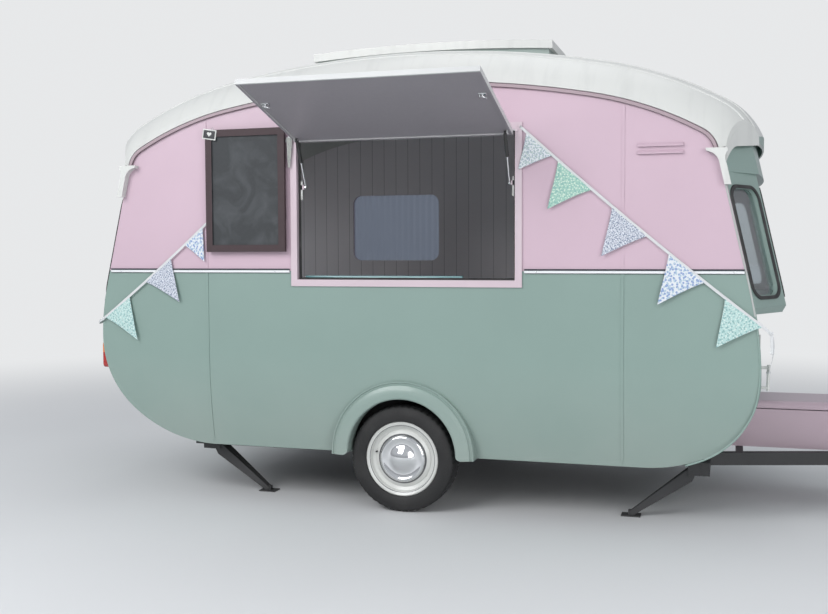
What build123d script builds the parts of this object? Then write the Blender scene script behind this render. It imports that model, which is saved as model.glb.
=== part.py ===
from build123d import *
from math import acos, asin, atan2, cos, degrees, hypot, pi, radians, sin, sqrt, tan
import os

# Touring caravan fitted out as an ice cream kiosk, millimetres.
# X runs forward to the tow coupling, Y to the caravan's left, Z up.
# Sizes are laid out from the middle of the axle on the ground, and every piece is moved at export
# so that the file's origin is the centre of the tow ball.

os.makedirs("parts", exist_ok=True)

# Body, side view
body_half_width = 1000.0
wall = 38.0
crown_z = 2279.0            # top of the side walls above the axle
bottom_z = 308.0            # lower edge of the body
roof_line_radius = 5300.0   # long arc over the middle
roof_line_turn = 10.9       # degrees, to each side
shoulder_radius = 1780.0
shoulder_turn = 18.5
corner_radius = 150.0
end_rake = 13.1             # degrees that the end walls lean out
front_rake_run = 711.0      # straight part of the front edge
rear_rake_run = 720.0
front_belly_radius = 1876.0
rear_belly_radius = 1187.0
front_chin_radius = 438.0   # tight lower front corner
front_chin_turn = 65.0
rear_chin_radius = 560.0
rear_chin_turn = 48.0

# Body, section
turn_under_z = 850.0        # the side walls curve in below this
turn_under = 57.0           # and are this much narrower at the lower edge
seat_gap = 0.3              # between pieces that are seated on each other
wide_y = body_half_width + 100.0    # past everything on the sides
deep_y = body_half_width - 200.0    # well inside the side walls
tall_z = crown_z + 500.0
long_x = 2400.0             # past both ends of the body

# Roof
roof_overhang = 10.0
roof_skin = 28.0
cove_radius = 370.0
cove_start = 63.0           # slope of the roof at its edge, degrees
cove_end = 9.0              # slope where the cove meets the crown
lip_overhang = 24.0         # the roof stands out past the headers
rib_radius = 9.0            # raised ribs along the roof
rib_proud = 5.0
rib_rows = (742.0, 835.0)   # distances from the middle

# Lantern on the roof
lantern_half_length = 690.0
lantern_half_width = 400.0
lantern_wall = 30.0
lantern_rise = 57.5         # from the middle of the roof to the top of the lid
lantern_fascia = 45.0
lantern_roof_radius = 9800.0
lantern_eaves = 22.0

# Bay windows at both ends, plan offsets from the raked edge of the wall
bay_side_width = 300.0      # of the angled side
bay_corner_y = body_half_width - bay_side_width
bay_out = 152.0             # flat front of the bay
bay_thickness = 40.0
bay_bottom_z = 1088.0
bay_top_z = 1778.0
header_corner_out = 166.0
header_middle_out = 206.0
pane_bottom_z = 1179.0
pane_top_z = 1698.0
pane_radius = 55.0
side_pane_in = 22.0         # from the side wall to the angled pane
post_half = 46.0            # corner post, to each side of the corner
seal_width = 20.0
seal_step = 3.0             # frame that shows inside the seal
seal_proud = 7.0
glass_thickness = 5.0
glass_depth = 18.0          # from the bay's face to the glass
bay_bottom_chamfer = 34.0
bay_bottom_sheet = 22.0

# Serving hatch in the right side
hatch_rear_x = -579.0
hatch_front_x = 621.0
hatch_sill_z = 1248.0
hatch_head_z = 2014.0
hatch_liner = 12.0
hatch_trim = 36.0           # trim round the opening, on the outside
hatch_trim_proud = 9.0
flap_thickness = 26.0
flap_clearance = 7.0
flap_open = 16.0            # degrees above level, as it stands
flap_edge = 14.0            # edge strip round the flap
hinge_pin_radius = 4.0
hinge_lug = 6.4             # half of the lug that carries the pin's end
pin_fit = 0.05              # running fit of a pin in its eye
strut_flap_reach = 62.0     # from the hinge to the strut's pin
strut_jamb_drop = 262.0     # from the hinge down to the jamb bracket
strut_tube_radius = 9.0
strut_rod_radius = 4.0
strut_pin_radius = 3.0
strut_inset = 36.0          # from the jamb to the strut's middle
strut_tube_length = 128.0
strut_engaged = 36.0        # rod that stays in the tube with the flap open

# Serving counter inside the hatch
counter_half_length = 680.0
counter_depth = 440.0       # from the outside of the wall
counter_below_sill = 46.0
counter_top = 28.0
counter_nose = 40.0         # the top stands out over the room
counter_kick = 60.0
counter_board = 18.0

# Board hung on the wall behind the hatch
chalkboard_x = (-1109.0, -637.0)
chalkboard_z = (1399.0, 2069.0)
chalkboard_gap = 18.0
chalkboard_depth = 22.0
chalkboard_frame = 38.0
chalkboard_recess = 9.0

# Entrance door and window in the left side
door_rear_x = 500.0
door_front_x = 1090.0
door_sill_z = 352.0
door_head_z = 1985.0
door_radius = 70.0
door_gap = 6.0
door_pane_z = (1240.0, 1800.0)
door_pane_side = 110.0
hinge_line_y = body_half_width + 9.0
side_window_x = (-980.0, -330.0)
side_window_z = (1330.0, 1800.0)

# Seams, belt, vents
rear_seam_x = -1128.0
front_seam_x = 1161.0
belt_z = 1295.0
belt_height = 24.0
belt_proud = 8.0
belt_end_gap = 12.0
seam_half_width = 7.0       # strip over each seam of the side walls
seam_proud = 3.0
seam_end = 26.0             # from the wall's edge to the strip's end
louvre_x = (1230.0, 1448.0)
louvre_rows = (1878.0, 1914.0)

# Wheels
wheel_radius = 287.0
tyre_width = 165.0
tyre_outer_y = body_half_width - 15.0
rim_radius = 201.0
rim_well_radius = 150.0
hubcap_radius = 126.0
hubcap_dome_radius = 109.0  # ball-shaped middle of the hubcap
arch_x = 8.0
arch_z = 315.0
arch_outer_radius = 396.0
arch_inner_radius = 300.0
arch_proud = 26.0
arch_lip = 1.0              # the arch stands in from the hole in the wall
arch_foot = 12.0            # straight part below the centre
arch_end_round = 30.0
wheel_box_half = 330.0
wheel_box_top_z = 640.0
wheel_box_depth = 225.0
wheel_box_sheet = 12.0

# Chassis
rail_half_gap = body_half_width - 400.0
rail_width = 50.0
rail_height = 68.0
rail_wall = 6.0
rail_rear_x = -1420.0
drawbar_bend_x = 1000.0
coupling_x = 2950.0
coupling_z = 380.0
ball_radius = 25.0
socket_clearance = 0.5
axle_tube = 60.0
axle_offset = 150.0
axle_tube_z = 205.0
arm_y = tyre_outer_y - tyre_width - 56.0
spindle_radius = 17.5

# Corner steadies
steady_y = body_half_width - 300.0
steady_front_x = 1497.0
steady_rear_x = -1215.0
steady_pivot_z = 262.0
steady_length = 400.0
steady_foot = 12.0
steady_half_width = (40.0, 19.0)    # pressing at the pivot and at the foot
steady_top_edge = (20.0, 13.0)      # above the line from the pivot to the foot
steady_low_edge = (42.0, 13.0)      # below that line
steady_sheet = 3.0
steady_pin = 8.0
steady_ear = 6.0
steady_ear_gap = 4.0

# Gas locker on the drawbar
locker_rear_x = 1660.0
locker_front_x = 2360.0
locker_half_width = 200.0
locker_top_z = 566.0
locker_lid_height = 46.0
locker_wall = 14.0
locker_round = 30.0
lid_rear_x = 1815.0
lid_z = locker_top_z - locker_lid_height
lid_gap = 5.0
lid_sheet = 12.0
lid_hinge_radius = 4.4
lid_hinge_half = 150.0

# Grab handles
handle_in = 72.0            # from the side of the body
handle_stand = 36.0         # from the end wall to the bar
handle_radius = 8.0
handle_z = {1: (716.0, 842.0), -1: (962.0, 1068.0)}     # ends of the bar, front and rear

# Tail lamps
lamp_in = 78.0              # from the side of the body
lamp_half_width = 32.0
lamp_z = (726.0, 880.0)
lamp_depth = 34.0
lamp_round = 24.0

# Bunting: a string down each way from pegs at the hatch, tied to the grab handles
string_y = -body_half_width - 14.0
string_radius = 3.0
string_drop = 0.8           # from the string to the flags
peg_radius = 3.5
peg_z = 2030.0
peg_in = 13.0               # from the trim's outer edge
ring_gap = 0.5
knot_radius = 8.0
flag_sheet = 2.0
string_runs = (1.0,) * 7 + (0.65, 0.35)     # shares of a run
# end: slope at the peg and at the corner, run, (start along the string, base, height) of each flag
strings = {
    1: (42.2, 37.5, 199.5, ((50.0, 180.0, 160.0), (266.0, 228.0, 208.0), (624.0, 226.0, 214.0),
                            (982.0, 224.0, 220.0), (1324.0, 224.0, 206.0))),
    -1: (43.5, 36.6, 195.4, ((288.0, 222.0, 212.0), (641.0, 222.0, 212.0), (1000.0, 212.0, 218.0),
                             (1345.0, 205.0, 222.0))),
}
# end: steps from the corner knot round to the handle, and the height of the ring on it
string_ends = {
    1: (((8.0, 7.0, -49.0), (11.0, 25.0, -97.0), (5.0, 50.0, -147.0)), 805.0),
    -1: (((-39.0, 9.0, -20.0), (-50.0, 39.0, -28.0)), 995.0),
}
tail_steps = ((4.0, -4.0, -48.0), (2.0, -7.0, -100.0))
limp_flag = ((-597.0, 2019.7), (-623.0, 2019.7), (-628.0, 1850.0))

# Jockey wheel
jockey_x = 2560.0
jockey_wheel_radius = 100.0
jockey_wheel_width = 60.0
jockey_tube_radius = 24.0
jockey_leg_radius = 20.5
jockey_tube_top_z = 640.0
jockey_trail = 34.0         # the wheel trails the leg
jockey_fork_gap = 9.0       # from the wheel to the fork's crown
jockey_travel = 85.0        # the leg draws up into the tube
jockey_clamp = 60.0         # height of the clamp on the rail
jockey_stand = 66.0         # from the rail's side to the tube's middle

right, left = -1, 1


def walk(start, heading, steps, inset=0.0):
    """Follow a smooth line in the side view that always turns the same way.

    Each step is (radius, turn in degrees), or (0, length) for a straight run. An inset gives the
    parallel line inside. Returns rows of (start, point half way, end, centre, radius, angles).
    """
    rows = []
    here, angle = start, radians(heading)
    for radius, amount in steps:
        if radius == 0:
            end = (here[0] + amount * cos(angle), here[1] - amount * sin(angle))
            half = ((here[0] + end[0]) / 2, (here[1] + end[1]) / 2)
            rows.append((here, half, end, None, 0.0, angle, angle))
        else:
            r = radius - inset
            centre = (here[0] - r * sin(angle), here[1] - r * cos(angle))
            turned = angle + radians(amount)
            middle = (angle + turned) / 2
            half = (centre[0] + r * sin(middle), centre[1] + r * cos(middle))
            end = (centre[0] + r * sin(turned), centre[1] + r * cos(turned))
            rows.append((here, half, end, centre, r, angle, turned))
            angle = turned
        here = end
    return rows


def end_steps(run, belly, chin, chin_turn):
    """The steps from the crown down one end of the body to its flat bottom."""
    corner_turn = 90.0 - end_rake - roof_line_turn - shoulder_turn
    steps = [
        (roof_line_radius, roof_line_turn),
        (shoulder_radius, shoulder_turn),
        (corner_radius, corner_turn),
        (0, run),
        (belly, end_rake),
        (chin, chin_turn),
    ]
    low = walk((0.0, crown_z), 0.0, steps)[-1][2][1]
    sweep_radius = (low - bottom_z) / (1 - sin(radians(chin_turn)))
    return steps + [(sweep_radius, 90.0 - chin_turn)]


front_steps = end_steps(front_rake_run, front_belly_radius, front_chin_radius, front_chin_turn)
rear_steps = end_steps(rear_rake_run, rear_belly_radius, rear_chin_radius, rear_chin_turn)


def end_rows(end, inset=0.0):
    """The rows of one end's outline, end is 1 for the front and -1 for the rear, X always positive."""
    steps = front_steps if end > 0 else rear_steps
    return walk((0.0, crown_z - inset), 0.0, steps, inset)


def edge_x(end, z, inset=0.0):
    """X of the end's outline at a height, on the side of the given end."""
    for start, half, stop, centre, r, a, b in end_rows(end, inset)[2:]:
        if stop[1] <= z <= start[1]:
            if centre is None:
                share = (start[1] - z) / (start[1] - stop[1])
                return end * (start[0] + share * (stop[0] - start[0]))
            return end * (centre[0] + sqrt(r * r - (z - centre[1]) ** 2))
    raise ValueError("height outside the end wall")


def flat_face(plane, start, steps):
    """A face on a plane. Each step is a point to go straight to, or (point on the arc, end point)."""
    line = []
    here = start
    for step in steps:
        if isinstance(step[0], tuple):
            line.append(ThreePointArc(here, step[0], step[1]))
            here = step[1]
        else:
            line.append(Line(here, step))
            here = step
    if hypot(here[0] - start[0], here[1] - start[1]) > 1e-6:
        line.append(Line(here, start))
    return plane * make_face(line)


def across(face, y_low, y_high):
    """Extrude a face of the side view between two widths."""
    return extrude(Pos(0, y_low, 0) * face, y_high - y_low, dir=(0, 1, 0))


def along(face, x_low, x_high):
    """Extrude a face of the end view between two lengths."""
    return extrude(Pos(x_low, 0, 0) * face, x_high - x_low, dir=(1, 0, 0))


def upward(face, z_low, z_high):
    """Extrude a face of the plan between two heights."""
    return extrude(Pos(0, 0, z_low) * face, z_high - z_low, dir=(0, 0, 1))


def block(x_low, x_high, y_low, y_high, z_low, z_high):
    """A box from its limits."""
    size = Box(x_high - x_low, y_high - y_low, z_high - z_low)
    return Pos((x_low + x_high) / 2, (y_low + y_high) / 2, (z_low + z_high) / 2) * size


def rod_between(a, b, radius):
    """A round bar from one point to another."""
    start, stop = Vector(*a), Vector(*b)
    return extrude(Plane(start, z_dir=stop - start) * Circle(radius), (stop - start).length)


def rounded(low_a, high_a, low_b, high_b, radius):
    """A rounded rectangle from its limits in a plane's own two directions."""
    shape = RectangleRounded(high_a - low_a, high_b - low_b, radius)
    return Pos((low_a + high_a) / 2, (low_b + high_b) / 2) * shape


def mirrored(shape):
    """The same piece on the other side of the caravan."""
    return mirror(shape, Plane.XZ)


def side_outline(inset=0.0):
    """The body's outline from the side."""
    front, rear = end_rows(1, inset), end_rows(-1, inset)
    steps = [(row[2] if row[3] is None else (row[1], row[2])) for row in front]
    steps.append((-rear[-1][2][0], rear[-1][2][1]))
    for row in reversed(rear):
        half, start = (-row[1][0], row[1][1]), (-row[0][0], row[0][1])
        steps.append(start if row[3] is None else (half, start))
    return flat_face(Plane.XZ, front[0][0], steps)


def section_outline(inset=0.0):
    """The body's section from the end, vertical sides that turn under towards the bottom."""
    drop = turn_under_z - bottom_z
    radius = (drop ** 2 + turn_under ** 2) / (2 * turn_under)
    top = crown_z + 50.0
    side = body_half_width - inset
    inner = radius - inset
    centre = side - inner
    low = bottom_z - 5.0
    turned = asin((turn_under_z - low) / inner)
    half = (centre + inner * cos(turned / 2), turn_under_z - inner * sin(turned / 2))
    foot = (centre + inner * cos(turned), low)
    return flat_face(Plane.YZ, (-side, top), [
        (side, top),
        (side, turn_under_z),
        (half, foot),
        (-foot[0], low),
        ((-half[0], half[1]), (-side, turn_under_z)),
    ])


body_solid = across(side_outline(), -wide_y, wide_y) & along(section_outline(), -long_x, long_x)
room_solid = along(section_outline(wall), -long_x, long_x)
room_prism = across(side_outline(wall), -wide_y, wide_y)
wall_ring = body_solid - room_solid
end_ring = (body_solid & room_solid) - room_prism

floor_front_x = end_rows(1)[-1][2][0]
floor_rear_x = -end_rows(-1)[-1][2][0]


def hatch_cut():
    """The hole in the right wall for the serving hatch."""
    m = hatch_liner + seat_gap
    return block(hatch_rear_x - m, hatch_front_x + m, -wide_y, -deep_y,
                 hatch_sill_z - m, hatch_head_z + m)


def arch_cut(side):
    """The round hole that the wheel shows through."""
    hole = across(Plane.XZ * Pos(arch_x, arch_z) * Circle(arch_inner_radius), deep_y, wide_y)
    below = block(arch_x - arch_inner_radius, arch_x + arch_inner_radius, deep_y, wide_y, 200.0, arch_z)
    return mirrored(hole + below) if side == right else hole + below


def door_profile(gap):
    """The doorway from the side, less a gap all round."""
    return Plane.XZ * Pos((door_rear_x + door_front_x) / 2, (door_sill_z + door_head_z) / 2) * (
        RectangleRounded(door_front_x - door_rear_x - 2 * gap,
                         door_head_z - door_sill_z - 2 * gap, door_radius - gap))


def window_profile(gap):
    """The window in the left wall, less a gap all round."""
    low_x, high_x = side_window_x
    low_z, high_z = side_window_z
    return Plane.XZ * rounded(low_x + gap, high_x - gap, low_z + gap, high_z - gap, 60.0 - gap)


def side_walls():
    """Right wall in three panels with the hatch, left wall in two with the door and a window."""
    right_ring = wall_ring & block(-long_x, long_x, -wide_y, -deep_y, 0.0, tall_z)
    left_ring = wall_ring & block(-long_x, long_x, deep_y, wide_y, 0.0, tall_z)
    right_ring -= hatch_cut() + arch_cut(right)
    left_ring -= arch_cut(left) + across(door_profile(0.0), deep_y, wide_y)
    left_ring -= across(window_profile(0.0), deep_y, wide_y)
    half = seat_gap / 2
    spans = [
        ("side_wall_right_rear", right_ring, -long_x, rear_seam_x - half),
        ("side_wall_right_middle", right_ring, rear_seam_x + half, front_seam_x - half),
        ("side_wall_right_front", right_ring, front_seam_x + half, long_x),
        ("side_wall_left_rear", left_ring, -long_x, rear_seam_x - half),
        ("side_wall_left_front", left_ring, rear_seam_x + half, long_x),
    ]
    walls = {}
    for name, ring, low, high in spans:
        walls[name] = ring & block(low, high, -wide_y, wide_y, 0.0, tall_z)
    walls["side_wall_right_rear"] += seam_strip(rear_seam_x, right)
    walls["side_wall_right_middle"] += seam_strip(front_seam_x, right)
    walls["side_wall_left_rear"] += seam_strip(rear_seam_x, left)
    return walls


def louvres():
    """Two narrow hooded vents high on the right wall, near the front."""
    hoods = []
    for z in louvre_rows:
        y = -body_half_width
        hood = flat_face(Plane.YZ, (y - 3.0, z - 8.0), [
            (y - 16.0, z - 8.0), (y - 16.0, z - 4.0), (y - 4.0, z + 9.0), (y, z + 9.0),
            (y, z + 4.0), (y - 3.0, z + 4.0)])
        hoods.append(along(hood, *louvre_x))
    return hoods


def seam_strip(x, side):
    """Strip over a seam, joined to the panel behind it and lying over the panel in front of it."""
    over = along(section_outline(-seat_gap - seam_proud), x - seam_half_width, x + seam_half_width)
    over -= along(section_outline(), x - seam_half_width, x)
    over -= along(section_outline(-seat_gap), x, x + seam_half_width)
    y_low, y_high = (-wide_y, -deep_y) if side == right else (deep_y, wide_y)
    strip = over & across(side_outline(seam_end), y_low, y_high)
    belt = belt_height / 2 + seat_gap
    return strip - block(x - 50.0, x + 50.0, -wide_y, wide_y, belt_z - belt, belt_z + belt)


def end_wall(end):
    """The panel from under the bay window down and back under the body to the floor."""
    low, high = (floor_front_x + seat_gap, long_x) if end > 0 else (-long_x, floor_rear_x - seat_gap)
    return end_ring & block(low, high, -wide_y, wide_y, 0.0, bay_bottom_z)


def floor_panel():
    """Flat floor between the end panels, with boxes over the wheels."""
    slab = end_ring & block(floor_rear_x, floor_front_x, -wide_y, wide_y, 0.0, bottom_z + wall)
    inner_y = body_half_width - wall - wheel_box_depth
    low, high = arch_x - wheel_box_half, arch_x + wheel_box_half
    for side in (right, left):
        outer = block(low, high, inner_y, body_half_width - 25.0, bottom_z, wheel_box_top_z)
        hollow = block(low + wheel_box_sheet, high - wheel_box_sheet, inner_y + wheel_box_sheet,
                       body_half_width, 0.0, wheel_box_top_z - wheel_box_sheet)
        if side == right:
            outer, hollow = mirrored(outer), mirrored(hollow)
        slab = slab + (outer & room_solid) - hollow
    return slab


def bay_line(corner_out, middle_out, shift=0.0):
    """Plan of a bay: wall, corner, the step along its flat or bowed front, the reverse, wall."""
    a = (shift, -body_half_width)
    b = (corner_out + shift, -bay_corner_y)
    c, d = (b[0], -b[1]), (a[0], -a[1])
    if middle_out == corner_out:
        return a, b, c, b, d
    m = (middle_out + shift, 0.0)
    return a, b, (m, c), (m, b), d


def bay_plan(corner_out, middle_out, outer, inner):
    """Band in the plan between two copies of the bay line, offsets along X."""
    a, b, out, back, d = bay_line(corner_out, middle_out, outer)
    e, f, inner_out, inner_back, h = bay_line(corner_out, middle_out, inner)
    g = (f[0], -f[1])
    return flat_face(Plane.XY, a, [b, out, d, h, g, inner_back, e])


def raked(face, end, z_low, z_high):
    """Extrude a plan face up along the rake of the end wall."""
    lean = tan(radians(end_rake))
    top_corner = end_rows(end)[3][0]
    x_low = top_corner[0] + (top_corner[1] - z_low) * lean
    solid = extrude(Pos(x_low, 0, z_low) * face, (z_high - z_low) / cos(radians(end_rake)),
                    dir=(-sin(radians(end_rake)), 0, cos(radians(end_rake))))
    return solid if end > 0 else mirror(solid, Plane.YZ)


def pane_profiles(grow):
    """Outlines of the three panes from the end, grown by an amount."""
    z_low, z_high = pane_bottom_z - grow, pane_top_z + grow
    side_low = -body_half_width + side_pane_in - grow
    side_high = -bay_corner_y - post_half + grow
    front = bay_corner_y - post_half + grow
    spans = [(side_low, side_high), (-front, front), (-side_high, -side_low)]
    return [Plane.YZ * rounded(low, high, z_low, z_high, pane_radius + grow) for low, high in spans]


def panes(end, grow):
    """The pane outlines as bars through the end of the body."""
    bars = [along(face, 0.0, long_x) for face in pane_profiles(grow)]
    return bars if end > 0 else [mirror(bar, Plane.YZ) for bar in bars]


def bay_frame(end):
    """Three-sided window bay with its closed bottom and the header up to the roof."""
    frame = raked(bay_plan(bay_out, bay_out, 0.0, -bay_thickness), end,
                  bay_bottom_z + bay_bottom_chamfer, bay_top_z)
    a, b, c, back, d = bay_line(bay_out, bay_out)
    inward = 240.0
    pan = flat_face(Plane.XY, a, [b, c, d, (-inward, d[1]), (-inward, a[1])])
    pan_z = bay_bottom_z + bay_bottom_chamfer
    frame += raked(pan, end, pan_z, pan_z + bay_bottom_sheet)
    lip = 26.0
    top_corner = end_rows(end)[3][0]
    lean = tan(radians(end_rake))
    x_top = top_corner[0] + (top_corner[1] - pan_z) * lean
    small = flat_face(Plane.XY, (a[0] - lip, a[1]), [
        (b[0] - lip, b[1]), (c[0] - lip, c[1]), (d[0] - lip, d[1]),
        (-inward, d[1]), (-inward, a[1])])
    under = loft([Pos(x_top + bay_bottom_chamfer * lean, 0, bay_bottom_z) * small,
                  Pos(x_top, 0, pan_z) * pan], ruled=True)
    frame += under if end > 0 else mirror(under, Plane.YZ)
    for bar in panes(end, 0.0):
        frame -= bar
    head = bay_plan(header_corner_out, header_middle_out, 0.0, -bay_thickness - 34.0)
    frame += raked(head, end, bay_top_z, bay_top_z + 20.0)
    head = bay_plan(header_corner_out, header_middle_out, 0.0, -bay_thickness)
    frame += raked(head, end, bay_top_z + 10.0, crown_z + 100.0)
    frame = frame - roof_above - side_slabs
    return frame - (end_ring & block(-long_x, long_x, -wide_y, wide_y, 0.0, bay_bottom_z))


def bay_glass(end):
    """The three panes of one bay."""
    outer = -glass_depth
    sheet = raked(bay_plan(bay_out, bay_out, outer, outer - glass_thickness), end,
                  bay_bottom_z + bay_bottom_chamfer, bay_top_z)
    return Compound(children=[(sheet & bar) - side_slabs for bar in panes(end, -seat_gap)])


def bay_seals(end):
    """Rubber seal round each pane, on the outside."""
    sheet = raked(bay_plan(bay_out, bay_out, seal_proud, seat_gap), end,
                  bay_bottom_z + bay_bottom_chamfer, bay_top_z - seat_gap)
    rings = zip(panes(end, seal_width), panes(end, seal_step))
    return Compound(children=[(sheet & big) - small for big, small in rings])


def cove_centre():
    """Centre of the cove's arc in the roof's section."""
    start_y = body_half_width + roof_overhang
    return start_y - cove_radius * sin(radians(cove_start)), -cove_radius * cos(radians(cove_start))


def roof_section(inset, foot):
    """Half of the roof's section: points of the cove and crown, from the edge to the middle.

    The line starts at the height foot above the wall's top edge.
    """
    centre_y, centre_n = cove_centre()
    crown_radius = centre_y / sin(radians(cove_end)) + cove_radius
    crown_n = centre_n - (crown_radius - cove_radius) * cos(radians(cove_end))
    r = cove_radius - inset
    first = acos((foot - centre_n) / r)
    last = radians(cove_end)

    def at(angle):
        return (centre_y + r * sin(angle), centre_n + r * cos(angle))

    top = (0.0, crown_n + crown_radius - inset)
    return at(first), at((first + last) / 2), at(last), top


def roof_band(inset_out, inset_in, foot):
    """The roof's section as a closed face, n measured from the top edge of the walls."""
    a, b, c, top = roof_section(inset_out, foot)
    e, f, g, under = roof_section(inset_in, foot)

    def flip(point):
        return (-point[0], point[1])

    return flat_face(Plane.YZ, a, [
        (b, c), (top, flip(c)), (flip(b), flip(a)), flip(e), (flip(f), flip(g)), (under, g), (f, e)])


def roof_face():
    """The roof skin's section with its raised ribs."""
    centre_y, centre_n = cove_centre()
    face = Sketch() + roof_band(0.0, roof_skin, seat_gap)
    middle = cove_radius - rib_radius + rib_proud
    for row in rib_rows:
        angle = asin((row - centre_y) / cove_radius)
        for side in (right, left):
            y, n = side * (centre_y + middle * sin(angle)), centre_n + middle * cos(angle)
            face += Plane.YZ * Pos(y, n) * Circle(rib_radius)
    return face.face()


def roof_body(face_at):
    """Sweep a section over the roof line: one turn about each arc's own centre."""
    pieces = []
    rows = end_rows(1)[:3]
    for index, (start, half, stop, centre, r, a, b) in enumerate(rows):
        axis = Axis((centre[0], 0, centre[1]), (0, 1, 0))
        face = Pos(centre[0], 0, centre[1] + r) * face_at
        if index == 0:
            piece = revolve(face.rotate(axis, -degrees(b)), axis, 2 * degrees(b))
            pieces.append(piece)
            continue
        piece = revolve(face.rotate(axis, degrees(a)), axis, degrees(b - a))
        pieces += [piece, mirror(piece, Plane.YZ)]
    solid = pieces[0]
    for piece in pieces[1:]:
        solid = solid + piece
    return solid


def lip_prism():
    """Everything inside the plan of the roof's edge, which follows the headers."""
    corner = end_rows(1)[3][0]
    rear_corner = end_rows(-1)[3][0]
    front, rear = corner[0], -rear_corner[0]
    out = lip_overhang
    y = body_half_width + roof_overhang + 20.0
    b_out, m_out = header_corner_out + out, header_middle_out + out
    plan = flat_face(Plane.XY, (front + out * 0.5, -y), [
        (front + b_out, -bay_corner_y), ((front + m_out, 0.0), (front + b_out, bay_corner_y)),
        (front + out * 0.5, y), (rear - out * 0.5, y),
        (rear - b_out, bay_corner_y), ((rear - m_out, 0.0), (rear - b_out, -bay_corner_y)),
        (rear - out * 0.5, -y)])
    return upward(plan, corner[1] - 300.0, tall_z)


roof_above = roof_body(roof_band(-300.0, roof_skin + seat_gap, -60.0))
side_slabs = across(side_outline(-seat_gap), -wide_y, -body_half_width + wall + seat_gap)
side_slabs += across(side_outline(-seat_gap), body_half_width - wall - seat_gap, wide_y)


lantern_top_z = crown_z + roof_section(0.0, seat_gap)[3][1] + lantern_rise


def roof_shell():
    """Roof skin with coves at the sides, ribs along it and the hole under the lantern."""
    shell = roof_body(roof_face()) & lip_prism()
    hole_x = lantern_half_length - lantern_wall - 20.0
    hole_y = lantern_half_width - lantern_wall - 20.0
    shell -= block(-hole_x, hole_x, -hole_y, hole_y, crown_z, tall_z)
    return shell


def lantern_walls():
    """Low raised walls standing on the roof under the lantern's lid."""
    outer = block(-lantern_half_length, lantern_half_length, -lantern_half_width, lantern_half_width,
                  crown_z, tall_z)
    inner = block(-lantern_half_length + lantern_wall, lantern_half_length - lantern_wall,
                  -lantern_half_width + lantern_wall, lantern_half_width - lantern_wall, 0.0, tall_z + 1.0)
    ring = (outer - inner) & lantern_cap(lantern_fascia + seat_gap, 600.0, 0.0)
    low_z = lantern_top_z - lantern_rise - 170.0
    below = block(-long_x, long_x, -wide_y, wide_y, 0.0, low_z)
    return ring - roof_body(roof_band(-seat_gap, 250.0, -60.0)) - below


def lantern_cap(top_drop, bottom_drop, eaves):
    """Slice of the lantern between two arched surfaces."""
    half = lantern_half_length + eaves
    sag = lantern_roof_radius - sqrt(lantern_roof_radius ** 2 - half ** 2)
    high, low = lantern_top_z - top_drop, lantern_top_z - bottom_drop
    face = flat_face(Plane.XZ, (-half, high - sag), [
        ((0.0, high), (half, high - sag)), (half, low - sag), ((0.0, low), (-half, low - sag))])
    return across(face, -lantern_half_width - eaves, lantern_half_width + eaves)


def lantern_roof():
    """Arched lid of the lantern with a deep fascia."""
    return lantern_cap(0.0, lantern_fascia, lantern_eaves)


def drip_rails():
    """Moulding along the top edge of each side wall."""
    y = body_half_width
    face = Plane.YZ * Pos(y + seat_gap + 7.0, -13.0) * RectangleRounded(14.0, 20.0, 4.0)
    rail = roof_body(face) - across(spout_face(), deep_y, wide_y)
    rail -= across(mirror(spout_face(), Plane.YZ), deep_y, wide_y)
    return Compound(children=[rail, mirrored(rail)])


def belt_rails():
    """Bright rails at the colour change, stopping at the hatch and the door."""
    pieces = []
    spans = [
        (right, edge_x(-1, belt_z) + belt_end_gap, hatch_rear_x - hatch_trim - belt_end_gap),
        (right, hatch_front_x + hatch_trim + belt_end_gap, edge_x(1, belt_z) - belt_end_gap),
        (left, edge_x(-1, belt_z) + belt_end_gap, door_rear_x - belt_end_gap),
        (left, door_front_x + belt_end_gap, edge_x(1, belt_z) - belt_end_gap),
    ]
    for side, low, high in spans:
        y = side * (body_half_width + seat_gap + belt_proud / 2)
        face = Plane.YZ * Pos(y, belt_z) * RectangleRounded(belt_proud, belt_height, 3.0)
        pieces.append(along(face, low, high))
    return Compound(children=pieces)


def spout_face():
    """Outline of a funnel at a roof corner that drains the gutter down the corner of the body."""
    top = end_rows(1)[3][0]
    lean = tan(radians(end_rake))
    z0 = top[1] - 1.0
    x0 = top[0] + 6.0
    neck_z, foot_z = z0 - 72.0, z0 - 176.0

    def at(dx, z):
        return (x0 + dx + (z0 - z) * lean, z)

    return flat_face(Plane.XZ, at(-66.0, z0), [
        at(34.0, z0), at(34.0, z0 - 14.0),
        (at(20.0, z0 - 32.0), at(14.0, neck_z)), at(14.0, foot_z), at(-18.0, foot_z),
        at(-18.0, neck_z), (at(-30.0, z0 - 32.0), at(-66.0, z0 - 14.0))])


def drain_spouts():
    """The four spouts."""
    one = across(spout_face(), -body_half_width - 40.0, -body_half_width - seat_gap)
    pieces = [one, mirrored(one), mirror(one, Plane.YZ), mirrored(mirror(one, Plane.YZ))]
    return Compound(children=pieces)


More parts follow.
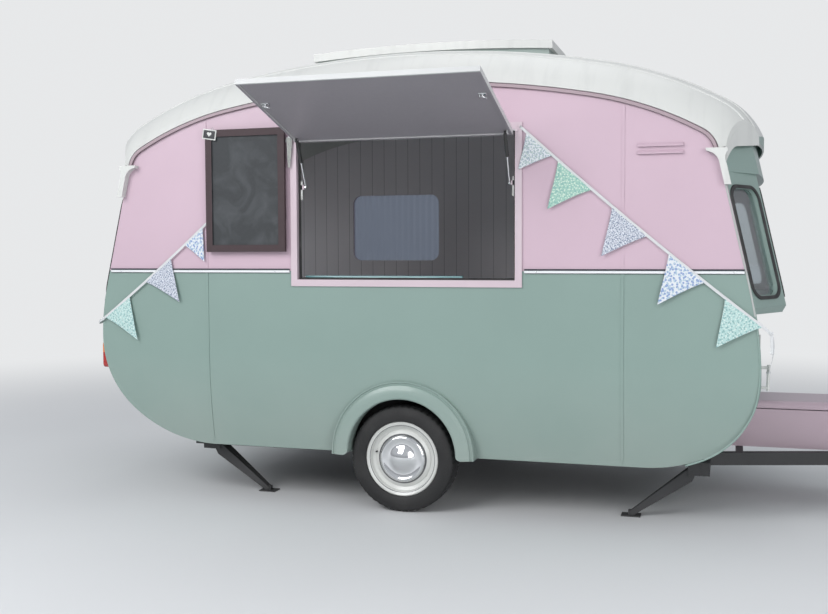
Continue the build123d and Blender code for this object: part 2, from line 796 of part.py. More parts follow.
def hatch_frame():
    """Liner through the wall and trim round the hatch on the outside."""
    y_out = -body_half_width - seat_gap - hatch_trim_proud
    m = hatch_liner
    outer = block(hatch_rear_x - m, hatch_front_x + m, y_out, -body_half_width + wall + 8.0,
                  hatch_sill_z - m, hatch_head_z + m)
    trim = block(hatch_rear_x - hatch_trim, hatch_front_x + hatch_trim, y_out,
                 -body_half_width - seat_gap, hatch_sill_z - hatch_trim, hatch_head_z + hatch_trim)
    hole = block(hatch_rear_x, hatch_front_x, -wide_y, -deep_y, hatch_sill_z, hatch_head_z)
    frame = outer + trim - hole
    for x in strut_lines():
        wall_x = hatch_rear_x if x < 0 else hatch_front_x
        low, high = sorted((wall_x, x - 8.0 if x < 0 else x + 8.0))
        y, z = jamb_pin
        frame += block(low, high, y - 9.0, y + 9.0, z - 12.0, z + 12.0)
    for x in hinge_ends():
        frame += block(x - 6.0, x + 6.0, hinge_y - hinge_lug, hinge_y + hinge_lug,
                       hinge_z - hinge_lug, hinge_z + hinge_lug)
        frame -= rod_between((x - 14.0, hinge_y, hinge_z), (x + 14.0, hinge_y, hinge_z),
                             hinge_pin_radius + pin_fit)
    return frame + peg(1) + peg(-1)


def peg(end):
    """Peg on the hatch trim with a round head, for the bunting."""
    x, z = peg_place(end)
    shank = rod_between((x, -body_half_width - seat_gap - 1.0, z), (x, string_y - 6.0, z), peg_radius)
    return shank + rod_between((x, string_y - 6.0, z), (x, string_y - 9.0, z), peg_radius + 2.5)


def hinge_ends():
    """X of the lugs on the trim that carry the ends of the flap's hinge pin."""
    return (hatch_rear_x - 9.0, hatch_front_x + 9.0)


hinge_y = -body_half_width - seat_gap - hatch_trim_proud - 3.0
hinge_z = hatch_head_z - 4.6


def swing(point_down, point_in):
    """Where a point of the closed flap lies with the flap open: drop and depth from the hinge."""
    angle = radians(90.0 + flap_open)
    y, z = point_in, -point_down
    return (hinge_y + y * cos(angle) + z * sin(angle), hinge_z - y * sin(angle) + z * cos(angle))


def closed_flap():
    """The flap as it lies in the closed hatch."""
    c = flap_clearance
    y_out = hinge_y + 4.0
    low_z, high_z = hatch_sill_z + c, hinge_z - 7.0
    panel = block(hatch_rear_x + c, hatch_front_x - c, y_out, y_out + flap_thickness, low_z, high_z)
    recess = block(hatch_rear_x + c + flap_edge, hatch_front_x - c - flap_edge, y_out + flap_thickness - 6.0,
                   y_out + flap_thickness + 1.0, low_z + flap_edge, high_z - flap_edge)
    rear_end, front_end = hinge_ends()
    hinge = rod_between((rear_end - 4.0, hinge_y, hinge_z), (front_end + 4.0, hinge_y, hinge_z),
                        hinge_pin_radius)
    leaf = block(hatch_rear_x + 12.0, hatch_front_x - 12.0, hinge_y + 1.0, y_out + 4.0, high_z - 4.0, hinge_z)
    flap = panel - recess + hinge + leaf
    return flap


def hatch_flap():
    """The flap stands open, with a bracket for each strut."""
    flap = closed_flap()
    for x, out in zip(strut_lines(), (-1, 1)):
        low, high = sorted((x + out * 10.0, x + out * 14.0))
        y, z = hinge_y + strut_flap_depth, hinge_z - strut_flap_reach
        flap += block(low, high, y - 14.0, y + 9.0, z - 10.0, z + 10.0)
        flap += rod_between((x - out * 6.0, y, z), (x + out * 12.0, y, z), strut_pin_radius)
    return flap.rotate(Axis((0, hinge_y, hinge_z), (1, 0, 0)), -(90.0 + flap_open))


def strut_lines():
    """X of the two struts, just inside the jambs."""
    return (hatch_rear_x + strut_inset, hatch_front_x - strut_inset)


strut_flap_depth = 4.0 + flap_thickness - 6.0 + 12.0
flap_pin = swing(strut_flap_reach, strut_flap_depth)
jamb_pin = (-body_half_width + 34.0, hinge_z - strut_jamb_drop)
strut_reach = hypot(flap_pin[0] - jamb_pin[0], flap_pin[1] - jamb_pin[1])


def strut(x):
    """Gas strut: the tube hangs from the flap's pin, and its rod reaches down to the jamb bracket."""
    dy = (jamb_pin[0] - flap_pin[0]) / strut_reach
    dz = (jamb_pin[1] - flap_pin[1]) / strut_reach

    def at(distance):
        return (x, flap_pin[0] + dy * distance, flap_pin[1] + dz * distance)

    eye = rod_between((x - 5.0, *flap_pin), (x + 5.0, *flap_pin), 8.0)
    tube = rod_between(at(6.0), at(strut_tube_length), strut_tube_radius) + eye
    tube -= rod_between((x - 10.0, *flap_pin), (x + 10.0, *flap_pin), strut_pin_radius + pin_fit)
    tube -= rod_between(at(20.0), at(strut_tube_length + 5.0), strut_rod_radius + pin_fit)
    foot = rod_between((x - 5.0, *jamb_pin), (x + 5.0, *jamb_pin), 8.0)
    bar = rod_between(at(strut_tube_length - strut_engaged), at(strut_reach - 5.0), strut_rod_radius) + foot
    return tube, bar


def entrance_door():
    """Door in the left wall with its window, handle and hinges."""
    ring = wall_ring & block(-long_x, long_x, deep_y, wide_y, 0.0, tall_z)
    door = ring & across(door_profile(door_gap), deep_y, wide_y)
    return door - across(door_pane(0.0), deep_y, wide_y)


def door_pane(gap):
    """The window of the door, less a gap."""
    low_z, high_z = door_pane_z
    return Plane.XZ * rounded(door_rear_x + door_pane_side + gap, door_front_x - door_pane_side - gap,
                              low_z + gap, high_z - gap, 50.0 - gap)


def door_hardware():
    """Knuckles of the two door hinges: the door's part and the wall's part."""
    door_part, wall_part = [], []
    x, y = door_front_x, hinge_line_y
    for z in (door_sill_z + 560.0, door_head_z - 260.0):
        pin_hole = rod_between((x, y, z - 60.0), (x, y, z + 60.0), 4.05)
        knuckle = rod_between((x, y, z - 24.7), (x, y, z + 24.7), 8.0)
        leaf = block(x - 36.0, x, body_half_width - 2.0, y - 3.0, z - 24.7, z + 24.7)
        door_part.append(knuckle + leaf - pin_hole)
        pin = rod_between((x, y, z - 45.0), (x, y, z + 45.0), 4.0)
        ends = [rod_between((x, y, z + a), (x, y, z + b), 8.0) for a, b in ((-45.0, -25.0), (25.0, 45.0))]
        leaves = [block(x + 1.0, x + 36.0, body_half_width - 2.0, y - 3.0, z + a, z + b)
                  for a, b in ((-45.0, -25.0), (25.0, 45.0))]
        bridge = [block(x, x + 2.0, body_half_width + 0.5, y, z + a, z + b)
                  for a, b in ((-45.0, -25.0), (25.0, 45.0))]
        wall_part.append(pin + ends + leaves + bridge)
    return door_part, wall_part


def door_handle():
    """Lever handle on the outside of the door."""
    x, z = door_rear_x + 62.0, 1080.0
    plate = block(x - 18.0, x + 18.0, body_half_width - 3.0, body_half_width + 6.0, z - 70.0, z + 40.0)
    stub = rod_between((x, body_half_width, z), (x, body_half_width + 40.0, z), 7.0)
    lever = rod_between((x, body_half_width + 36.0, z), (x + 105.0, body_half_width + 36.0, z), 7.0)
    return plate + stub + lever


def wheel_arch(side):
    """Flared spat round the wheel: a beaded outer edge, and feet with a rounded inner corner."""
    y, inner = body_half_width + seat_gap, body_half_width - turn_under
    centre = Axis((arch_x, 0, arch_z), (0, 1, 0))
    r_in, r_out = arch_inner_radius - arch_lip, arch_outer_radius
    at_in, at_out = arch_z + r_in, arch_z + r_out
    profile = flat_face(Plane.YZ, (inner, at_out), [
        (y + 7.0, at_out), (y + 12.0, at_out - 4.0), (y + 12.0, at_out - 8.0), (y + 6.0, at_out - 12.0),
        (y + 6.0, at_out - 17.0), (y + 14.0, at_out - 23.0),
        ((y + arch_proud * 0.85, at_in + 50.0), (y + arch_proud, at_in + 14.0)),
        ((y + arch_proud - 4.0, at_in + 3.0), (y + arch_proud - 12.0, at_in)),
        (inner, at_in)])
    end_face = (Pos(arch_x, 0, 0) * profile).rotate(centre, -90.0)
    arch = revolve(end_face, centre, 180.0)
    foot = extrude(end_face, arch_foot, dir=(0, 0, -1))
    arch += [foot, mirror(foot, Plane.YZ.offset(arch_x))]
    low, round_r = arch_z - arch_foot, arch_end_round
    for way in (-1, 1):
        corner, middle = arch_x + way * (r_in - 1.0), arch_x + way * (r_in + round_r)
        square = block(min(corner, middle), max(corner, middle), 0.0, wide_y, low - 1.0, low + round_r)
        arch -= square - across(Plane.XZ * Pos(middle, low + round_r) * Circle(round_r), -1.0, wide_y + 1.0)
    arch -= along(section_outline(-seat_gap), -long_x, long_x)
    return mirrored(arch) if side == right else arch


def wheel(side):
    """Tyre, steel wheel with its brake drum, and hubcap, spinning about Y."""
    z = wheel_radius
    axis = Axis((0, 0, z), (0, 1, 0))
    out = tyre_outer_y
    back = out - tyre_width

    def spin(start, steps):
        points = [((p[0][0], z + p[0][1]), (p[1][0], z + p[1][1])) if isinstance(p[0], tuple)
                  else (p[0], z + p[1]) for p in steps]
        return revolve(flat_face(Plane.YZ, (start[0], z + start[1]), points), axis, 360.0)

    def dome(tip, height):
        return (tip - hubcap_dome_radius + sqrt(hubcap_dome_radius ** 2 - height ** 2), height)

    r, rim, well = wheel_radius, rim_radius, rim_well_radius
    tyre = spin((back + 14.0, rim - 30.0), [
        ((back, (r + rim) / 2), (back + 7.0, r - 18.0)),
        ((back + 12.0, r - 6.0), (back + 25.0, r - 1.0)),
        ((back + tyre_width / 2, r), (out - 25.0, r - 1.0)),
        ((out - 12.0, r - 6.0), (out - 7.0, r - 18.0)),
        ((out, (r + rim) / 2), (out - 14.0, rim - 30.0))])
    barrel = spin((back + 16.0, rim), [
        (back + 20.0, rim), (back + 26.0, rim - 14.0), (back + 44.0, rim - 20.0),
        (back + 52.0, well + 12.0), (out - 52.0, well + 12.0), (out - 44.0, rim - 20.0),
        (out - 26.0, rim - 14.0), (out - 20.0, rim), (out - 16.0, rim), (out - 12.0, rim - 6.0),
        (out - 20.0, rim - 22.0), (out - 40.0, rim - 27.0), (out - 47.0, well + 6.0),
        (back + 47.0, well + 6.0), (back + 40.0, rim - 27.0), (back + 20.0, rim - 22.0),
        (back + 12.0, rim - 6.0)])
    disc = spin((out - 50.0, well + 8.0), [
        (out - 40.0, well), (out - 30.0, hubcap_radius + 8.0), (out - 34.0, hubcap_radius - 14.0),
        (out - 52.0, 70.0), (out - 52.0, 20.0), (out - 60.0, 20.0), (out - 60.0, 74.0),
        (out - 40.0, hubcap_radius - 12.0), (out - 36.0, hubcap_radius + 4.0),
        (out - 46.0, well - 4.0), (out - 56.0, well + 8.0)])
    drum = spin((back - 40.0, 105.0), [
        (back + 6.0, 105.0), (back + 14.0, 96.0), (back + 14.0, 60.0), (out - 58.0, 60.0),
        (out - 58.0, spindle_radius + 0.05), (back + 4.0, spindle_radius + 0.05), (back + 4.0, 92.0),
        (back - 40.0, 98.0)])
    bed = spin((back - 2.0, rim + seat_gap), [
        (back + 21.0, rim + seat_gap), (back + 26.5, rim - 13.7), (back + 44.5, rim - 19.7),
        (back + 52.0, well + 12.3), (out - 52.0, well + 12.3), (out - 44.5, rim - 19.7),
        (out - 26.5, rim - 13.7), (out - 21.0, rim + seat_gap), (out + 2.0, rim + seat_gap),
        (out + 2.0, well - 20.0), (back - 2.0, well - 20.0)])
    cap = spin((out - 30.9, hubcap_radius), [
        ((out - 22.0, hubcap_radius - 4.0), (out - 16.0, hubcap_radius - 16.0)),
        (out - 22.0, 92.0), ((out - 24.0, 76.0), dome(out + 2.0, 60.0)),
        (dome(out + 2.0, 34.0), (out + 2.0, 0.0)), (out - 5.0, 0.0),
        (dome(out - 5.0, 32.0), dome(out - 5.0, 58.0)), ((out - 31.0, 76.0), (out - 29.0, 92.0)),
        (out - 22.0, hubcap_radius - 17.0), (out - 31.6, hubcap_radius - 4.0)])
    pieces = [tyre - bed, barrel + disc + drum, cap]
    return [mirrored(piece) for piece in pieces] if side == right else pieces


def axle_beam():
    """Torsion tube under the rails with a trailing arm and a spindle at each side."""
    half = axle_tube / 2
    z = axle_tube_z
    tube = block(axle_offset - half, axle_offset + half, -arm_y - 12.0, arm_y + 12.0, z - half, z + half)
    rail_low = bottom_z - rail_height
    for side in (right, left):
        y = side * rail_half_gap
        tube += block(axle_offset - 60.0, axle_offset + 60.0, y - 22.0, y + 22.0, z + half - 2.0,
                      rail_low - seat_gap)
        low, high = sorted((side * (arm_y - 10.0), side * (arm_y + 12.0)))
        reach = hypot(axle_offset, wheel_radius - z)
        arm = Plane.XZ * Pos(axle_offset, z) * Circle(40.0)
        arm += Plane.XZ * Pos(0, wheel_radius) * Circle(34.0)
        nx, nz = (wheel_radius - z) / reach, axle_offset / reach
        arm += flat_face(Plane.XZ, (axle_offset + 38 * nx, z + 38 * nz), [
            (32 * nx, wheel_radius + 32 * nz), (-32 * nx, wheel_radius - 32 * nz),
            (axle_offset - 38 * nx, z - 38 * nz)])
        for face in arm.faces():
            tube += across(face, low, high)
        ends = sorted((side * arm_y, side * (tyre_outer_y - 64.0)))
        tube += rod_between((0, ends[0], wheel_radius), (0, ends[1], wheel_radius), spindle_radius)
    return tube


def drawbar_y(x):
    """Outer side of the drawbar's rail at a length."""
    share = (x - drawbar_bend_x) / (coupling_x - 50.0 - drawbar_bend_x)
    wide, narrow = rail_half_gap + rail_width / 2, rail_width + 20.0
    return wide + share * (narrow - wide)


def rail_plan(gap=0.0):
    """Plan of the right rail, straight along the body and bent in to the drawbar."""
    wide, tip_x = rail_half_gap + rail_width / 2, coupling_x - 50.0
    slant = rail_width * 1.04
    return flat_face(Plane.XY, (rail_rear_x, -wide - gap), [
        (drawbar_bend_x, -wide - gap), (tip_x, -drawbar_y(tip_x) - gap),
        (tip_x, -drawbar_y(tip_x) + slant + gap), (drawbar_bend_x, -wide + rail_width + gap),
        (rail_rear_x, -wide + rail_width + gap)])


def cross_member(x, half, z_low, z_high):
    """Square tube across the frame."""
    t = rail_wall
    outer = block(x - 25.0, x + 25.0, -half, half, z_low, z_high)
    return outer - block(x - 25.0 + t, x + 25.0 - t, -half - 1.0, half + 1.0, z_low + t, z_high - t)


def steady_ears(x, inboard, z_low, z_high):
    """The pair of ears that carry the right steady's pin."""
    ears = []
    off = steady_half_width[0] + steady_ear_gap + steady_ear / 2
    for y in (-steady_y - off, -steady_y + off):
        low, high = sorted((x + inboard * 22.0, x - inboard * 40.0))
        ear = block(low, high, y - steady_ear / 2, y + steady_ear / 2, z_low, z_high)
        hole = rod_between((x, y - 5.0, steady_pivot_z), (x, y + 5.0, steady_pivot_z), steady_pin + pin_fit)
        ears.append(ear - hole)
    return ears


def chassis_frame():
    """Two open channels that bend in to the drawbar, each with its steady brackets, and what joins them."""
    z_high, z_low = bottom_z - seat_gap, bottom_z - rail_height
    wide, tip_x = rail_half_gap + rail_width / 2, coupling_x - 50.0
    slant = rail_width * 1.04
    t = rail_wall
    hollow = flat_face(Plane.XY, (rail_rear_x - 5.0, -wide + t), [
        (drawbar_bend_x, -wide + t), (tip_x + 5.0, -drawbar_y(tip_x + 5.0) + t),
        (tip_x + 5.0, -drawbar_y(tip_x) + slant + 9.0), (drawbar_bend_x, -wide + rail_width + 9.0),
        (rail_rear_x - 5.0, -wide + rail_width + 9.0)])
    rail = upward(rail_plan(), z_low, z_high) - upward(hollow, z_low + t, z_high - t)
    for x, inboard in ((steady_front_x, -1), (steady_rear_x, 1)):
        cross_x = x - inboard * 62.0
        reach = steady_y + 46.0
        inner = drawbar_y(cross_x - inboard * 25.0) if cross_x > drawbar_bend_x else wide
        stub = block(cross_x - 25.0, cross_x + 25.0, -reach, -inner + t / 2, z_low, z_high)
        rail += [stub] + steady_ears(x, inboard, z_low, z_high)
    keep_out = upward(rail_plan(seat_gap), 0.0, tall_z)
    keep_out += mirrored(keep_out)
    pieces = [rail, mirrored(rail)]
    for x in (rail_rear_x + 25.0, steady_rear_x - 62.0, -520.0, 520.0, drawbar_bend_x - 25.0,
              steady_front_x + 62.0):
        half = (wide if x < drawbar_bend_x else drawbar_y(x)) - rail_width / 2
        pieces.append(cross_member(x, half, z_low, z_high) - keep_out)
    for x in (locker_rear_x + 70.0, locker_front_x - 60.0):
        y = drawbar_y(x) - rail_width / 2
        pieces.append(block(x - 20.0, x + 20.0, -y, y, z_high - 8.0, z_high) - keep_out)
    gusset_x = tip_x - 300.0
    gusset = flat_face(Plane.XY, (gusset_x, -drawbar_y(gusset_x)), [
        (tip_x, -drawbar_y(tip_x)), (tip_x, drawbar_y(tip_x)), (gusset_x, drawbar_y(gusset_x))])
    pieces.append(upward(gusset, z_high + seat_gap, z_high + 8.0))
    return Compound(children=pieces)


def steady_leg(end, side):
    """Pressed-steel corner leg with its pin and its foot on the ground."""
    x, y, z = (steady_front_x if end > 0 else steady_rear_x), side * steady_y, steady_pivot_z
    drop = z - steady_foot
    angle = degrees(asin(drop / steady_length))
    run = sqrt(steady_length ** 2 - drop ** 2)
    sheet, length = steady_sheet, steady_length
    (wide, slim), (top, top_foot), (low, low_foot) = steady_half_width, steady_top_edge, steady_low_edge
    side_view = flat_face(Plane.XZ, (-14.0, top), [
        (length, top_foot), (length, -low_foot), (34.0, -low), (-14.0, -18.0)])
    side_inner = flat_face(Plane.XZ, (16.0, top - sheet - 1.0), [
        (length + 1.0, top_foot - sheet - 1.0), (length + 1.0, -low - 5.0), (16.0, -low - 5.0)])
    plan = flat_face(Plane.XY, (-14.0, -wide), [(length, -slim), (length, slim), (-14.0, wide)])
    plan_inner = flat_face(Plane.XY, (-20.0, -wide + sheet), [
        (length + 2.0, -slim + sheet), (length + 2.0, slim - sheet), (-20.0, wide - sheet)])
    bar = across(side_view, -wide, wide) & upward(plan, -100.0, 100.0)
    bar -= across(side_inner, -wide, wide) & upward(plan_inner, -100.0, 100.0)
    for place in (0.32, 0.55, 0.78):
        bar -= Pos(steady_length * place, 0, 0) * Cylinder(9.0, 60.0)
    bar = bar.rotate(Axis((0, 0, 0), (0, 1, 0)), angle)
    pin_end = wide + steady_ear_gap + steady_ear + 2.0
    pin = rod_between((0, -pin_end, 0), (0, pin_end, 0), steady_pin)
    plate = Pos(run, 0, -z + 3.0) * Box(100.0, 76.0, 6.0)
    boss = block(run - 16.0, run + 14.0, -14.0, 14.0, -z + 2.0, -z + 30.0)
    leg = (bar & block(-50.0, 600.0, -50.0, 50.0, -z + 2.0, 50.0)) + pin + plate + boss
    if end > 0:
        leg = mirror(leg, Plane.YZ)
    return Pos(x, y, z) * leg


def tow_coupling():
    """Ball coupling: pressed head with its socket, neck and release lever."""
    x, z = coupling_x, coupling_z
    base = bottom_z + 8.0
    neck = flat_face(Plane.XZ, (x - 200.0, base), [
        (x - 200.0, base + 44.0), (x - 20.0, z + 34.0), (x, z + 34.0), (x, z - 16.0),
        (x - 44.0, z - 16.0), (x - 70.0, base)])
    body = across(neck, -30.0, 30.0)
    body += Pos(x, 0, z - 16.0) * Cylinder(40.0, 22.0, align=(Align.CENTER, Align.CENTER, Align.MIN))
    body += Pos(x, 0, z + 4.0) * Sphere(40.0) & block(x - 60.0, x + 60.0, -60.0, 60.0, z - 10.0, z + 60.0)
    body += rod_between((x - 60.0, 0, z + 28.0), (x - 190.0, 0, z + 84.0), 10.0)
    ball = ball_radius + socket_clearance
    body -= Pos(x, 0, z - 20.0) * Cylinder(ball, 24.0, align=(Align.CENTER, Align.CENTER, Align.MIN))
    body -= Pos(x, 0, z + 4.0) * Sphere(ball)
    return body


def handbrake_lever():
    """Handbrake lever on its bracket behind the coupling."""
    x, y, base = coupling_x - 280.0, 20.0, bottom_z + 8.0
    bracket = block(x - 30.0, x + 30.0, y, y + 8.0, base, base + 46.0)
    foot = block(x - 30.0, x + 30.0, y, y + 40.0, base, base + 6.0)
    lever = rod_between((x, y + 4.0, base + 36.0), (x - 84.0, y + 4.0, base + 270.0), 8.0)
    grip = rod_between((x - 84.0, y + 4.0, base + 270.0), (x - 120.0, y + 4.0, base + 370.0), 13.0)
    return bracket + foot + lever + grip


jockey_y = -(drawbar_y(jockey_x) + jockey_stand)


def jockey():
    """Jockey wheel: tube clamped on the rail with its crank, sliding leg with fork, and wheel."""
    x, y, z = jockey_x, jockey_y, jockey_wheel_radius
    r = jockey_leg_radius
    half = jockey_wheel_width / 2
    wheel_x = x + jockey_trail
    crown_low = 2 * z + jockey_fork_gap
    crown_top = crown_low + 7.0
    top_z = jockey_tube_top_z
    tube = rod_between((x, y, crown_top + jockey_travel + 5.0), (x, y, top_z), jockey_tube_radius)
    tube += block(x - 24.0, x + 24.0, y, y + jockey_stand + 40.0, bottom_z, bottom_z + jockey_clamp)
    tube -= rod_between((x, y, 2 * z), (x, y, top_z - 12.0), r + 0.05)
    tube += rod_between((x, y, top_z - 2.0), (x, y, top_z + 26.0), 9.0)
    tube += rod_between((x, y, top_z + 20.0), (x + 130.0, y, top_z + 20.0), 6.0)
    tube += rod_between((x + 125.0, y, top_z + 14.0), (x + 125.0, y, top_z + 92.0), 10.0)
    leg = rod_between((x, y, crown_top - 4.0), (x, y, 450.0), r)
    crown = block(x - 24.0, wheel_x + 24.0, y - half - 11.0, y + half + 11.0, crown_low, crown_top)
    for low, high in ((y - half - 11.0, y - half - 5.0), (y + half + 5.0, y + half + 11.0)):
        prong = flat_face(Plane.XZ, (x - 22.0, crown_low + 3.0), [
            (wheel_x + 22.0, crown_low + 3.0), (wheel_x + 15.0, z - 14.0), (wheel_x - 15.0, z - 14.0)])
        crown += across(prong, low, high)
    axle = rod_between((wheel_x, y - half - 16.0, z), (wheel_x, y + half + 16.0, z), 8.0)
    spin_axis = Axis((wheel_x, 0, z), (0, 1, 0))
    face = flat_face(Plane.YZ, (y - half + 8.0, z + 99.0), [
        ((y, z + 100.0), (y + half - 8.0, z + 99.0)),
        ((y + half - 1.0, z + 94.0), (y + half, z + 84.0)), (y + half, z + 64.0), (y + 14.0, z + 60.0),
        (y + 14.0, z + 24.0), (y + half, z + 22.0), (y + half, z + 8.05), (y - half, z + 8.05),
        (y - half, z + 22.0), (y - 14.0, z + 24.0), (y - 14.0, z + 60.0), (y - half, z + 64.0),
        (y - half, z + 84.0), ((y - half + 1.0, z + 94.0), (y - half + 8.0, z + 99.0))])
    roller = revolve(Pos(wheel_x, 0, 0) * face, spin_axis, 360.0)
    return tube, leg + crown + axle, roller


def locker_form():
    """The locker's outer form: rounded top edges, shaped to the body behind it."""
    face = flat_face(Plane.YZ, (-locker_half_width, bottom_z), [
        (-locker_half_width, locker_top_z - locker_round),
        ((-locker_half_width + locker_round * 0.293, locker_top_z - locker_round * 0.293),
         (-locker_half_width + locker_round, locker_top_z)),
        (locker_half_width - locker_round, locker_top_z),
        ((locker_half_width - locker_round * 0.293, locker_top_z - locker_round * 0.293),
         (locker_half_width, locker_top_z - locker_round)),
        (locker_half_width, bottom_z)])
    form = along(face, locker_rear_x, locker_front_x)
    return form - across(side_outline(-6.0), -600.0, 600.0)


def gas_locker():
    """Box on the drawbar, open under its lid."""
    form = locker_form() & block(0.0, 4000.0, -500.0, 500.0, bottom_z, lid_z)
    w = locker_wall
    hollow = block(lid_rear_x + 35.0, locker_front_x - w, -locker_half_width + w,
                   locker_half_width - w, bottom_z + w, lid_z + 10.0)
    return form - hollow


def gas_locker_lid():
    """Lid hinged along its rear edge."""
    form = locker_form() & block(lid_rear_x, 4000.0, -500.0, 500.0, lid_z + lid_gap, tall_z)
    w = locker_wall
    hollow = block(lid_rear_x + w, locker_front_x - w, -locker_half_width + w, locker_half_width - w,
                   lid_z, locker_top_z - lid_sheet)
    z = lid_z + lid_hinge_radius + seat_gap
    hinge = rod_between((lid_rear_x, -lid_hinge_half, z), (lid_rear_x, lid_hinge_half, z), lid_hinge_radius)
    return form - hollow + hinge


def handle_point(end, side, z):
    """A point on the middle line of a grab handle's bar at a height."""
    low, high = handle_z[end]
    x_low, x_high = (edge_x(end, level) + end * handle_stand for level in (low, high))
    share = (z - low) / (high - low)
    return x_low + share * (x_high - x_low), side * (body_half_width - handle_in), z


def grab_handles():
    """Upright handles near the corners of both end walls."""
    pieces = []
    for end, (low, high) in handle_z.items():
        for side in (right, left):
            bar = rod_between(handle_point(end, side, low), handle_point(end, side, high), handle_radius)
            for z in (low + 14.0, high - 14.0):
                x, y, z = handle_point(end, side, z)
                bar += rod_between((edge_x(end, z) + end, y, z), (x, y, z), handle_radius - 1.0)
            pieces.append(bar)
    return Compound(children=pieces)


def tail_lamps():
    """Upright lamp at each rear corner, amber over red."""
    pieces = []
    for side in (right, left):
        y, w = side * (body_half_width - lamp_in), lamp_half_width
        low, high = lamp_z
        back = edge_x(-1, high) - lamp_depth
        body = along(Plane.YZ * rounded(y - w, y + w, low, high, lamp_round), back, 0.0)
        body -= across(side_outline(-seat_gap), -wide_y, wide_y)
        pieces.append(body)
    return Compound(children=pieces)


def serving_counter():
    """Counter inside the hatch: top, ends, middle and a shelf, open towards the room."""
    y_wall, y_in = -body_half_width + wall + seat_gap, -body_half_width + counter_depth
    low, high = bottom_z + wall + seat_gap, hatch_sill_z - counter_below_sill
    board, half, back = counter_board, counter_half_length, y_wall + counter_kick
    unit = block(-half - 20.0, half + 20.0, y_wall, y_in + counter_nose, high, high + counter_top)
    for x in (-half, 0.0, half - board):
        base = low if x else wheel_box_top_z + seat_gap
        unit += block(x, x + board, back, y_in, base, high)
    shelf_z = wheel_box_top_z + 60.0
    unit += block(-half, half, back, y_in, shelf_z, shelf_z + board)
    unit += block(-half, half, y_in - board, y_in, shelf_z - 42.0, shelf_z + board)
    return unit


def peg_place(end):
    """Middle of the peg on the hatch trim that carries a string."""
    return (hatch_front_x + hatch_trim - peg_in if end > 0 else hatch_rear_x - hatch_trim + peg_in), peg_z


def string_line(end):
    """Points of a taut string from its peg to the corner, its slope easing as it goes down."""
    first, last, run, flags = strings[end]
    x, z = peg_place(end)
    points = [(x, z)]
    for index, share in enumerate(string_runs):
        angle = radians(first + (last - first) * index / (len(string_runs) - 1))
        x, z = x + end * share * run * cos(angle), z - share * run * sin(angle)
        points.append((x, z))
    return points


def tube_along(points, radius):
    """A round tube along straight runs joined by arcs as large as the runs allow."""
    radii = []
    for before, here, after in zip(points, points[1:], points[2:]):
        a, b = Vector(*here) - Vector(*before), Vector(*after) - Vector(*here)
        turn = radians(a.get_angle(b))
        radii.append(0.45 * min(a.length, b.length) / tan(turn / 2))
    print("string radii", [round(r, 1) for r in radii])
    path = FilletPolyline(*points, radius=radii)
    start = Plane(path @ 0, z_dir=path % 0)
    return sweep(start * Circle(radius), path=path)


def ring_round(place, axis, bar_radius):
    """A ring of string round a bar."""
    ring = Torus(bar_radius + ring_gap + string_radius, string_radius)
    return Plane(place, z_dir=axis) * ring


def bunting_string(end):
    """String from its peg down to the corner knot and round to the grab handle."""
    line = [(x, string_y, z) for x, z in string_line(end)]
    knot = line[-1]
    steps, ring_z = string_ends[end]
    bar = handle_point(end, right, ring_z)
    around = [tuple(a + b for a, b in zip(knot, step)) for step in steps]
    reach = handle_radius + ring_gap + string_radius
    first = peg_radius + ring_gap + string_radius
    angle = radians(strings[end][0])
    start = (line[0][0] + end * first * cos(angle), string_y, line[0][2] - first * sin(angle))
    points = [start] + line[1:] + around + [(bar[0], bar[1] - reach, bar[2])]
    string = tube_along(points, string_radius)
    string += ring_round(line[0], (0, 1, 0), peg_radius)
    low, high = (handle_point(end, right, z) for z in handle_z[end])
    string += ring_round(bar, tuple(b - a for a, b in zip(low, high)), handle_radius)
    string += Pos(*knot) * Sphere(knot_radius)
    if end > 0:
        tail = [knot] + [tuple(a + b for a, b in zip(knot, step)) for step in tail_steps]
        string += tube_along(tail, string_radius)
    return string


def string_point(end, distance):
    """Point of the string at a distance from its peg."""
    points = string_line(end)
    for here, there in zip(points, points[1:]):
        run = hypot(there[0] - here[0], there[1] - here[1])
        if distance <= run:
            share = distance / run
            return here[0] + share * (there[0] - here[0]), here[1] + share * (there[1] - here[1])
        distance -= run
    return points[-1]


def bunting_flags(end):
    """Cloth triangles under a string, their points square to it, and one limp flag at the rear peg."""
    flags = []
    y = string_y - flag_sheet / 2
    for start, base, height in strings[end][3]:
        a, b = string_point(end, start), string_point(end, start + base)
        ux, uz = (b[0] - a[0]) / base, (b[1] - a[1]) / base
        nx, nz = end * uz, -end * ux
        drop = string_radius + string_drop
        a, b = (a[0] + nx * drop, a[1] + nz * drop), (b[0] + nx * drop, b[1] + nz * drop)
        tip = ((a[0] + b[0]) / 2 + nx * height, (a[1] + b[1]) / 2 + nz * height)
        flags.append(across(flat_face(Plane.XZ, a, [b, tip]), y, y + flag_sheet))
    if end < 0:
        face = flat_face(Plane.XZ, limp_flag[0], list(limp_flag[1:]))
        front = string_y - string_radius - seat_gap
        flags.append(across(face, front - flag_sheet, front))
    return Compound(children=flags)


def chalkboard():
    """Framed board hung on the right wall behind the hatch."""
    (x_low, x_high), (z_low, z_high), f = chalkboard_x, chalkboard_z, chalkboard_frame
    y_back = -body_half_width - chalkboard_gap
    y_front = y_back - chalkboard_depth
    frame = block(x_low, x_high, y_front, y_back, z_low, z_high)
    frame -= block(x_low + f, x_high - f, y_front - 1.0, y_front + chalkboard_recess, z_low + f, z_high - f)
    for x in (x_low + 60.0, x_high - 60.0):
        z = z_high - 30.0
        frame += rod_between((x, y_back - 1.0, z), (x, -body_half_width - seat_gap, z), 6.0)
    return frame


def spread(pieces):
    """Several like solids as one shape."""
    return Compound(children=list(pieces))


